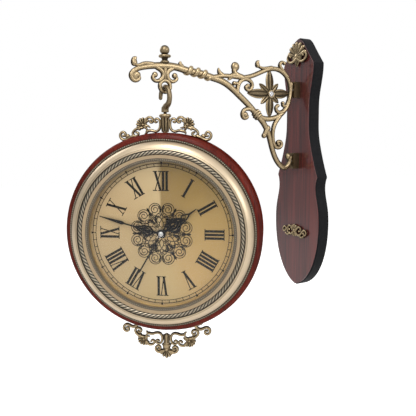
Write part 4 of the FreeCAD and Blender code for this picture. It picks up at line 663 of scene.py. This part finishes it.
def bracket():
    """The whole arm: rods, twist, knot, flower, eye and the two pads against the feet."""
    shells = Shells()
    for points, wide, narrow, ball in ARM_RUNS:
        scroll(shells, points, wide * ROD_SWELL, narrow * ROD_SWELL, ARM_DEEP, ball * ROD_SWELL)
    for base, tip, half in ARM_LEAVES:
        leaf(shells, base, tip, half * LEAF_SWELL)
    button(shells, (-42.5, 12), 6.6, 3.0)
    twist(shells, TWIST, 3.75, 4.0, 3.4)
    for shift in (-4.0, 0.0, 4.0):
        middle = KNOT + KNOT_RUN * shift
        arm = KNOT_ACROSS * (4.6 if shift else 5.4)
        lobe(shells, middle - arm, middle + arm, 2.3, 2.3, 5.0)
    for tip in LONG_PETALS:
        petal(shells, FLOWER, tip, 7.0, 3.6)
    for tip in SHORT_PETALS:
        petal(shells, FLOWER, tip, 4.2, 3.2, blunt=0.4)
    button(shells, FLOWER, 6.6, 4.0)
    for lift in (3.6, -3.6):
        wire_ring(shells, FLOWER, 4.9, 1.2, lift)
    wire_ring(shells, (0, 0), 7.6, 2.8)
    lobe(shells, (0, 8), (0, 26), 3.2, 3.7, 3.4)
    for height, rise in ((4, 12), (-105, 8.4)):
        ends = [(PAD_PLACE, height - rise + PAD_HALF), (PAD_PLACE, height + rise - PAD_HALF)]
        lobe(shells, *ends, PAD_HALF, PAD_HALF, 4.0)
    cast(shells, "bracket_casting", on_bracket, "wall_bracket", "bracket_arm")


FINIAL_SEAT = np.array([0, 0, 30.7])


def finial():
    """Turned finial on the arm over the eye, darker where it is thin."""
    shells = Shells()
    ball = arc((0, 16.8), 6.5, -56, 90, 16)
    ball[-1, 0] = 0.0
    disc = arc((6.4, 8.9), 1.9, -80, 85, 9)
    profile = np.array([(0, -5), (2.4, -5), (2.4, 0), (5.4, 0), (6.0, 1.2), (5.6, 2.5), (4.3, 3.3),
                        (3.9, 4.6), (4.3, 5.9), (5.6, 6.8), *disc, (5.2, 11.0), *ball])
    lathe(shells, profile, 0.12 + 0.5 * np.clip((profile[:, :1] - 3.8) / 2.6, 0, 1))
    cast(shells, "finial_turning", lambda p: on_bracket(p) + FINIAL_SEAT, "wall_bracket", "finial")


# Hook: radii of its bow and its curl, height of the bow from the eye, and the curl's turn in degrees
BOW, CURL, BOW_HEIGHT, CURL_TURN = 14, 11, -15.1, 75.0


def hook():
    """Bent hook: a round rod that thickens from its tip to its shank, over a boss with a pin under it.
    Its bow, its curl and the bend back to the axis are arcs that run on in each other's direction."""
    c, s = math.cos(math.radians(CURL_TURN)), math.sin(math.radians(CURL_TURN))
    back = (BOW - CURL + CURL * c) / (1 - c)
    low = BOW_HEIGHT - (CURL + back) * s
    path = np.concatenate([arc((0, BOW_HEIGHT), BOW, 0, 180, 40),
                           arc((CURL - BOW, BOW_HEIGHT), CURL, 180, 180 + CURL_TURN, 20)[1:],
                           arc((-back, low), back, CURL_TURN, 24, 16)[1:]])
    t = np.linspace(0, 1, len(path))
    half = 2.6 + 0.8 * np.clip(t / 0.2, 0, 1) + 1.2 * np.clip((t - 0.6) / 0.3, 0, 1)
    shells = Shells()
    shells.add(swept(path, half, half), 0.55 + 0.1 * np.sin(RING))
    pin = np.array([(0, -8.0), (2.3, -8.0), (2.3, 1.0), (0, 1.0)])
    boss = np.array([(0, -1.3), (4.5, -1.3), (5.0, -0.8), (5.0, 3.0), (4.6, 6.0), (0, 6.0)])
    lathe(shells, pin + [0, low], 0.1)
    lathe(shells, boss + [0, low], 0.6)
    cast(shells, "hook_forging", on_eye, "hook", "hook")


def collar():
    """Hollowed collar between hook and drum: a turned body with eight flutes, narrower near its base."""
    shells = Shells()
    base, top, count = 131.0, 158.0, 96
    flange = arc((6.6, top - 2.4), 1.6, -90, 90, 7) * [1, 1.35] - [0, 0.35 * (top - 2.4)]

    def hollow(angle):
        return np.abs(np.sin(4 * angle)) ** 1.6

    def on_body(height):
        return (height > base + 3.8) & (height < top - 5.4)

    def fluted(radius, height, angle):
        depth = 1.1 * (1 - hollow(angle)) + 0.9 * np.clip((base + 14 - height) / 9, 0, 1)
        return radius - on_body(height) * depth

    profile = np.array([(2.5, base), (3.2, base), (3.2, base + 2.6), (4.6, base + 2.7), (6.2, base + 4.4),
                        *[(6.2, h) for h in np.linspace(base + 5, top - 6, 6)], (6.2, top - 5.3),
                        (6.6, top - 4.8), *flange, (6.6, top), (2.5, top), (2.5, base)])
    relief = np.where(on_body(profile[:, 1:]), 0.75 * hollow(round_turn(count)), 0.7)
    lathe(shells, profile, relief, count, fluted)
    cast(shells, "collar_turning", on_clock, "drum", "swivel_collar")


# Crests and appliques: scrolls and leaves of the left half, from the rim outward, mirrored for the right

TOP_RUNS = [
    ([(-45, -4.6), (-50.5, -6.7), (-56, -9.4), (-60.8, -9.2), (-64.2, -5.6), (-63.8, -1.4), (-60.6, 0.9),
      (-57.3, -1), (-57.5, -4.2), (-60, -4.4)], 4.8, 3.4, 1.7),
    ([(-33, 6.6), (-39.2, 5.6), (-44.3, 2.7), (-46.2, -1.5), (-43.4, -4.6), (-39.4, -3.9), (-38.2, -0.7),
      (-41, 0.4)], 4.4, 3.2, 1.7),
    ([(-25.6, 1.8), (-19.3, 2.9), (-13.7, 1.6), (-9.4, 3.4), (-7.1, 8.4), (-7.2, 14), (-9, 17.8),
      (-12.4, 18.8), (-14.8, 16.4), (-13.7, 13.8), (-11.8, 14.6)], 4.2, 3.0, 1.5),
    ([(-28.0, 14), (-27.0, 17.6), (-23.6, 20.4), (-19.3, 20), (-17.2, 16.6), (-18.8, 13.6), (-21.4, 14.2),
      (-20.9, 16)], 4.2, 3.0, 1.6)]
TOP_LEAVES = [((-25, 2.2), (-28.2, -2), 1.9), ((-27.4, 8.8), (-20.6, 6.6), 1.7),
              ((-28.4, 7.4), (-24.8, 2.4), 1.6)]
LOW_RUNS = [
    ([(-41, -2.4), (-44.6, 3), (-49, 4.8), (-54, 3.2), (-58.8, 1.8), (-62.8, 4.8), (-62.6, 9), (-59.2, 11.4),
      (-55.8, 9.6), (-56.6, 6.8), (-59, 6.8)], 4.8, 3.4, 1.7),
    ([(-33.6, 18.2), (-39.7, 17.1), (-44, 14.3), (-46.1, 10.3), (-43.5, 6.7), (-39.4, 6.7), (-37.2, 10.2),
      (-39.8, 12.6), (-41.6, 10.8)], 4.4, 3.2, 1.6),
    ([(-25.9, 13.2), (-20.7, 13.8), (-15, 12.2), (-9.4, 13), (-6.4, 18), (-6.8, 23.4), (-9.4, 27),
      (-13.2, 27.2), (-15.5, 24.7), (-13.6, 22.5), (-11.4, 23.6)], 4.2, 3.0, 1.5),
    ([(-29.4, 25), (-27, 28.6), (-22.8, 29.5), (-18.9, 27.8), (-18.2, 24.4), (-20.9, 22.7), (-22.6, 24.6)],
     4.2, 3.0, 1.6),
    ([(-4, 37.5), (-7.8, 39.4), (-12.4, 39.4), (-15.8, 36.4), (-15.5, 32.9), (-12.1, 31.2), (-9.1, 33.6),
      (-10.4, 36), (-12.2, 35.2)], 4.2, 3.2, 1.7)]
LOW_LEAVES = [((-25.2, 13.6), (-28.4, 9.6), 1.9), ((-29.6, 18.8), (-25.2, 14.2), 1.7),
              ((-29.2, 20.4), (-23.6, 18), 1.6)]
CREST_DEEP, CREST_LEAF_DEEP, CREST_SQUEEZE = 7.0, 3.2, 0.965
VASE_ROWS, RAIL_ROWS = 25, 60


def crest_half(shells, runs, leaves, flip, up):
    """Scrolls and leaves of one half of a crest; flip is -1 on the right, and up is -1 under the drum."""
    for points, wide, narrow, ball in runs:
        line = [(flip * x * CREST_SQUEEZE, up * (RIM_RADIUS + z)) for x, z in points]
        scroll(shells, line, wide, narrow, CREST_DEEP, ball)
    for base, tip, half in leaves:
        ends = [(flip * x, up * (RIM_RADIUS + z)) for x, z in (base, tip)]
        leaf(shells, *ends, half, CREST_LEAF_DEEP)


def top_crest():
    """Scrolls, leaves and shells on the drum, left and right of the collar."""
    shells = Shells()
    lean = math.radians(22)
    for flip in (1, -1):
        crest_half(shells, TOP_RUNS, TOP_LEAVES, flip, 1)
        fan(shells, flip * -30.2, RIM_RADIUS + 10.7, 10.0, 90 + flip * 45, 190, 8, 3.9)
        reach = [RIM_RADIUS + rise for rise in (2.5, 5.0)]
        foot = [(flip * -math.sin(lean) * r, math.cos(lean) * r) for r in reach]
        lobe(shells, *foot, 4.0, 3.4, 3.4)
    cast(shells, "top_crest_casting", on_clock, "drum", "top_crest")


def bottom_crest():
    """Scrolls, leaves and shells under the drum, with a tulip vase and a pointed palmette in the middle."""
    shells = Shells()
    low = -RIM_RADIUS
    for flip in (1, -1):
        crest_half(shells, LOW_RUNS, LOW_LEAVES, flip, -1)
        fan(shells, flip * -32, low - 21.8, 9.4, 270 - flip * 45, 190, 8, 3.9)
    t = np.linspace(0, 1, VASE_ROWS)
    tulip = np.interp(t, [0, 0.06, 0.14, 0.24, 0.5, 0.75, 1.0], [0.8, 3.2, 5.4, 5.9, 4.5, 4.2, 5.2])
    path = np.stack([0 * t, low - 12.6 - 14.6 * t], axis=1)
    shells.add(swept(path, tulip, 3.3 + 0 * t, 0.0, PETAL_RING, 0.3),
               petal_tone(0.15, 0.75, 0.6, 0.8, 0.14))
    lobe(shells, (-5.4, low - 28.4), (5.4, low - 28.4), 1.4, 1.4, 4.0)
    cup = np.interp(t, [0, 0.5, 0.8, 1.0], [6.2, 5.6, 4.2, 3.4])
    path = np.stack([0 * t, low - 29.8 - 4.6 * t], axis=1)
    shells.add(swept(path, cup, 3.1 + 0 * t), HIGH)
    lobe(shells, (-3.6, low - 33.4), (3.6, low - 33.4), 1.1, 1.1, 3.8)
    fan(shells, 0, low - 35.2, 12.8, -90, 150, 7, 4.3, 0.0, 0.2)
    rail = arc((0, 0), RIM_RADIUS + 3.9, 249.6, 290.4, RAIL_ROWS)
    shells.add(swept(rail, np.full(RAIL_ROWS, 3.6), np.full(RAIL_ROWS, 3.4)), HIGH)
    cast(shells, "bottom_crest_casting", on_clock, "drum", "bottom_crest")


SHELL_HEIGHT, SPRAY_HEIGHT = 135.0, -136.0
SHELL_CURL = [(0, -3), (10, -8), (18, -7), (22.5, -1), (19, 4), (15, 1)]
SPRAY_RUNS = [[(3, -2), (9, -6), (15, -4), (20, 2), (25.5, 3.5), (28, -0.5), (25, -4), (22, -1.5)],
              [(5, 2), (9, 6.5), (14, 6), (15.5, 2.2), (12, 0.5)], [(12, -5.5), (17.5, -8.2), (21, -6.5)]]


def appliques():
    """Shell at the board's top and a pair of scrolls on its belly."""
    shells = Shells()
    fan(shells, 0, 0, 22, 90, 150, 7, 2.4, 2.4)
    for flip in (1, -1):
        scroll(shells, np.array(SHELL_CURL) * [flip, 1], 5, 3, 4.8, 2.6, 2.4)
    petal(shells, (0, 2), (0, -16), 4.5, 2.4, 2.5)
    cast(shells, "shell_relief", lambda p: on_board(p, SHELL_HEIGHT), "wall_bracket", "shell_applique")
    shells = Shells()
    fan(shells, 0, 1, 9.5, 90, 130, 5, 2.4, 2.4)
    fan(shells, 0, 0, 9.0, -90, 110, 5, 2.2, 2.2)
    for flip in (1, -1):
        for points in SPRAY_RUNS:
            scroll(shells, np.array(points) * [flip, 1], 3.8, 2.6, 4.4, 1.9, 2.3)
    cast(shells, "scroll_relief", lambda p: on_board(p, SPRAY_HEIGHT), "wall_bracket", "scroll_applique")


# Faces: radii are from the clock's axis, and out is from its mid-plane

ROPE_RADIUS, ROPE_OUT, ROPE_STRANDS = 107.9, 39.9, 116
BEAD_STRINGS = ((123.6, 29.7, 260, 1.35), (98.2, 40.9, 220, 1.3))


def rope(name, side):
    """Twisted rope ring in the bezel's groove: a torus with slanting strands."""
    def ridge(theta, phi):
        return np.abs(np.cos(0.5 * (ROPE_STRANDS * theta + 4 * phi)))

    shells = Shells()
    torus(shells, ROPE_RADIUS, ROPE_OUT, ROPE_STRANDS * 10, 24, lambda a, b: 2.25 + 0.75 * ridge(a, b) ** 0.6,
          lambda a, b: np.clip(1.8 * ridge(a, b) - 0.7, 0, 1))
    shells.piece(name + "_rope", lambda p: on_clock(p, side), name + "_face", "dark_rope", LOOKS["dark_rope"],
                 [name + "_rope_ring"])


def beading(name, side):
    """Two strings of beads, at the bezel's outer ledge and on its inner lip: each bead swells a torus like
    the height of a circle."""
    def bead(count):
        def swell(theta, phi):
            x = ((theta * count / (2 * np.pi)) % 1.0) * 2 - 1
            return np.sqrt(np.clip(1 - 0.9 * x ** 2, 0, 1)) + 0 * phi
        return swell

    shells = Shells()
    for radius, out, count, size in BEAD_STRINGS:
        grow = bead(count)
        torus(shells, radius, out, count * 6, 8, lambda a, b: size * grow(a, b),
              lambda a, b: np.clip(grow(a, b) * np.clip(np.sin(b), 0, 1), 0, 1))
    shells.piece(name + "_beading", lambda p: on_clock(p, side), name + "_face", "dark_rope", BEADING)


DIAL_OUT, PRINT_THICK = 28.9, 0.12
NUMERAL_FOOT, NUMERAL_HEAD, SERIF_HALF = 57.5, 82.5, 3.0
TRACK_RINGS = ((92.7, 93.6), (88.7, 89.5))
STEM, THICK, THIN, GLYPH_GAP = 3.2, 3.0, 1.2, 1.2
GLYPHS = {"I": (4.7, [(0, 0, STEM)]), "V": (9.0, [(0, -1, THICK), (0, 1, THIN)]),
          "X": (9.6, [(1, -1, THICK), (-1, 1, THIN)])}
NUMERALS = ["XII", "I", "II", "III", "IIII", "V", "VI", "VII", "VIII", "IX", "X", "XI"]


def numeral_strokes(word):
    """Strokes of a numeral: where each one's foot and head stand across it, and its width, in millimetres."""
    x = -sum(GLYPHS[c][0] for c in word) / 2
    for c in word:
        width, strokes = GLYPHS[c]
        mid, reach = x + width / 2, width / 2 - GLYPH_GAP
        for foot, head, wide in strokes:
            yield mid + foot * reach, mid + head * reach, wide
        x += width


ROSETTE = [
    volute(8.7, 32.4, 7.0, 1.3, 215, -1.75), volute(8.7, 32.4, 5.2, 4.6, 100, -0.5),
    volute(9.8, 18.0, 4.6, 0.9, 60, 1.5), volute(3.6, 24.6, 3.4, 0.8, 280, 1.3),
    volute(4.4, 13.6, 3.6, 0.8, 230, 1.4),
    spline([(3, 38.2), (1.2, 35), (1.6, 30), (0, 26)], 24),
    spline([(16.5, 30), (14.6, 24.8), (12.6, 22)], 20),
    spline([(2.6, 28), (6.4, 25.2), (7.4, 21), (5.2, 18)], 24),
    spline([(0, 8.4), (2.6, 11), (2.2, 15), (0, 19.5)], 20),
    spline([(3.6, 7.4), (8, 10.4), (11, 14), (14.5, 19)], 24),
    spline([(1.0, 20.4), (6.2, 23.4), (11.6, 25.2)], 16),
    spline([(12.5, 15.2), (15.2, 23), (18.2, 33.4)], 20),
    volute(8.7, 32.4, 8.1, 8.0, 205, -0.66), volute(14.4, 26.4, 2.6, 0.7, 130, 1.3),
    volute(2.7, 34.6, 2.2, 0.6, 70, 1.2), volute(6.6, 21.6, 2.4, 0.6, 20, 1.3),
    spline([(0, 19.8), (1.9, 22.2), (1.2, 24.4), (0, 25.8)], 14),
    spline([(8.4, 13.2), (11.6, 17.6), (13.2, 21.8)], 14),
    spline([(16.2, 29.4), (18.4, 31), (19.6, 34)], 12),
]


def radial(angle, across, out):
    """Point at a clock angle in degrees: across to the right of the radius, out along it."""
    a = math.radians(angle)
    return (out * math.sin(a) + across * math.cos(a), out * math.cos(a) - across * math.sin(a))


def spun(line, degrees):
    """Drawing turned clockwise about the clock's axis."""
    c, s = math.cos(math.radians(degrees)), math.sin(math.radians(degrees))
    line = np.asarray(line, float)
    return np.stack([line[:, 0] * c + line[:, 1] * s, -line[:, 0] * s + line[:, 1] * c], axis=1)


def dial_print(name, side):
    """Numerals, minute track and a traditional scrolled rosette, raised a hair above the dial."""
    low, high = DIAL_OUT, DIAL_OUT + PRINT_THICK
    tall = NUMERAL_HEAD - NUMERAL_FOOT
    shells = Shells()
    for hour, word in enumerate(NUMERALS):
        for start, end, wide in numeral_strokes(word):
            line = [radial(30 * hour, start + (end - start) * k, NUMERAL_FOOT + tall * k)
                    for k in (0, 0.5, 1)]
            plate(shells, line, wide / 2, low, high)
            for place, out in ((start, NUMERAL_FOOT), (end, NUMERAL_HEAD)):
                serif = [radial(30 * hour, place + dx, out) for dx in (-SERIF_HALF, 0, SERIF_HALF)]
                plate(shells, serif, 0.6, low, high)
    for inner, outer in TRACK_RINGS:
        band(shells, inner, outer, low, high)
    for minute in range(60):
        plate(shells, [radial(6 * minute, 0, r) for r in (89, 91, 93)], 0.42, low, high)
    for hour in range(12):
        plate(shells, [radial(30 * hour, 0, r) for r in (92.0, 93.0, 95.2)], [0.3, 1.0, 1.3], low, high)
    for turn in range(6):
        for flip in (1, -1):
            for line in ROSETTE:
                plate(shells, spun(line * [flip, 1], 60 * turn), 0.5, low, high)
    band(shells, 6.6, 7.2, low, high)
    shells.piece(name + "_dial_print", lambda p: on_clock(p, side), name + "_face", "hand_black", PRINT,
                 smooth=False)


HAND_THICK, BLADE_ROWS = 0.5, 9


def loop_lines(low, high, half):
    """Two bowed sides of a hand's pointed loop, between two places along the hand."""
    belly = low + 0.28 * (high - low)
    bow = np.array([(0, low), (0.9 * half, belly), (0.8 * half, (low + high) / 2), (0, high)])
    return [spline(bow * [flip, 1], 24) for flip in (1, -1)]


def pierced_hand(name, side, kind, angle, lift, hub, loops, blades):
    """Pierced hand: a hub ring, ribbons round its loops, and straight tapered blades."""
    low, high = lift, lift + HAND_THICK
    shells = Shells()
    band(shells, 2.0, hub, low, high, 48)
    for start, end, half, wire in loops:
        for line in loop_lines(start, end, half):
            plate(shells, spun(line, angle), wire, low, high)
    for start, end, first, last in blades:
        line = np.stack([np.zeros(BLADE_ROWS), np.linspace(start, end, BLADE_ROWS)], axis=1)
        plate(shells, spun(line, angle), np.linspace(first, last, BLADE_ROWS), low, high)
    shells.piece(f"{name}_{kind}_filigree", lambda p: on_clock(p, side), f"{name}_{kind}s", "hand_black",
                 LOOKS["hand_black"], [f"{name}_{kind}_hand"], smooth=False)


def hands(name, side):
    """The three hands as the photograph shows them, at their set time."""
    pierced_hand(name, side, "hour", 53.8, 31.5, 6.2,
                 [(11.6, 34.8, 9.0, 1.5), (15.0, 29.0, 4.8, 1.3), (33.0, 46.4, 4.0, 1.0)],
                 [(4.0, 14.0, 2.0, 1.5), (13.0, 36.0, 1.0, 1.0), (45.0, 57.6, 1.4, 0.5),
                  (14.0, 20.0, 3.2, 1.0)])
    pierced_hand(name, side, "minute", 285.5, 32.9, 5.4,
                 [(10.3, 36.1, 5.8, 1.15), (14.6, 29.2, 3.0, 0.9)],
                 [(4.0, 12.0, 1.8, 1.3), (11.0, 54.0, 1.0, 1.0), (50.5, 54.5, 0.9, 2.4),
                  (54.0, 85.8, 2.4, 0.45)])
    pierced_hand(name, side, "second", 210.0, 34.3, 3.2, [],
                 [(-20.0, 59.0, 1.0, 0.9), (-22.2, -20.0, 0.4, 2.2), (-20.0, -17.4, 2.2, 0.7)])


def hand_cap(name, side):
    """Domed silver cap over the hands' hub: a quarter round, flattened toward its foot."""
    foot, radius, flatness = 34.9, 3.4, 0.55
    profile = np.concatenate([[(0, foot), (radius, foot)], arc((0, 35.0), radius, 10, 90, 10)])
    profile[-1, 0] = 0.0
    profile[:, 1] = foot + (profile[:, 1] - foot) * flatness
    shells = Shells()
    lathe(shells, profile, 0.8, 32)
    shells.points = [p[:, [0, 2, 1]] for p in shells.points]
    shells.piece(name + "_hand_cap", lambda p: on_clock(p, side), name + "_seconds", "steel", SILVER)


bracket()
finial()
hook()
collar()
top_crest()
bottom_crest()
appliques()
for name, side in SIDES:
    rope(name, side)
    beading(name, side)
    dial_print(name, side)
    hands(name, side)
    hand_cap(name, side)


# Studio: white surround, soft lamps, pale floor and the photograph's camera

def surround():
    """White world: full to the camera and through the glass, dimmer as light, and sloping in reflections."""
    world = bpy.data.worlds.new("studio")
    bpy.context.scene.world = world
    world.use_nodes = True
    tree = world.node_tree
    ray = made(tree, "ShaderNodeLightPath")
    seen = worked(tree, MATH, "MAXIMUM", ray["Is Camera Ray"], ray["Is Transmission Ray"])[0]
    way = made(tree, "ShaderNodeTexCoord")["Generated"]
    slope = worked(tree, VECTOR, "DOT_PRODUCT", way, (0.45, -0.35, 0.82))["Value"]
    blend = tree.nodes.new("ShaderNodeMix")
    tree.links.new(ray["Is Glossy Ray"], blend.inputs[0])
    tree.links.new(spread(tree, seen, 0.0, 1.0, 0.45, 1.0), blend.inputs[2])
    tree.links.new(spread(tree, slope, -0.5, 0.7, 0.45, 1.0), blend.inputs[3])
    fed(tree, tree.nodes["Background"], {"Color": (1, 1, 1, 1), "Strength": blend.outputs[0]})


def lamps():
    """Square lamps, each turned to look at its aim."""
    for label, place, aim, size, power in (
            ("key_lamp", (-1.3, -1.3, 1.1), (-0.2, 0, 0), 0.9, 16.0),
            ("top_lamp", (-0.6, -0.55, 1.3), (-0.25, 0, -0.1), 0.45, 9.0),
            ("side_lamp", (0.5, -1.5, 0.5), (-0.1, 0, 0), 0.7, 7.0),
            ("back_lamp", (-0.6, 1.5, 0.9), (-0.15, 0, 0), 0.9, 9.0)):
        lamp = bpy.data.lights.new(label, "AREA")
        lamp.size = size
        lamp.energy = power
        holder = bpy.data.objects.new(label, lamp)
        holder.location = place
        aim_at = np.subtract(aim, place)
        from_z = math.atan2(aim_at[1], aim_at[0]) - math.pi / 2
        holder.rotation_euler = (math.acos(-aim_at[2] / np.linalg.norm(aim_at)), 0, from_z)
        bpy.context.collection.objects.link(holder)


def pale_floor():
    """Floor under the part, glowing a little so that it shows nearly white."""
    half, level = 4, -0.42
    corners = [(-half, -half, level), (half, -half, level), (half, half, level), (-half, half, level)]
    mesh = bpy.data.meshes.new("floor")
    mesh.from_pydata(corners, [], [(0, 1, 2, 3)])
    floor = bpy.data.objects.new("floor", mesh)
    bpy.context.collection.objects.link(floor)
    material, tree, shader = plain_material("pale_floor", Base_Color=(0.9, 0.9, 0.9, 1), Roughness=0.9,
                                            Emission_Color=(1, 1, 1, 1))
    ray = made(tree, "ShaderNodeLightPath")
    fed(tree, shader, {"Emission Strength": spread(tree, ray["Is Camera Ray"], 0.0, 1.0, 0.15, 0.6)})
    mesh.materials.append(material)


def photo_camera():
    """Camera fitted to the photograph: its focal length and its shift down are in the photograph's pixels."""
    width, focal, shift = 416.0, 540.0, 25.0
    camera = bpy.data.cameras.new("camera")
    camera.sensor_width = 36.0
    camera.lens = focal / width * camera.sensor_width
    camera.shift_y = -shift / width
    eye = bpy.data.objects.new("camera", camera)
    eye.location = (-0.5625, -0.6627, 0.0146)
    eye.rotation_euler = (math.radians(90 - 5.0796), 0, math.radians(-30))
    bpy.context.collection.objects.link(eye)
    bpy.context.scene.camera = eye
    bpy.context.scene.view_settings.view_transform = "Standard"


surround()
lamps()
pale_floor()
photo_camera()
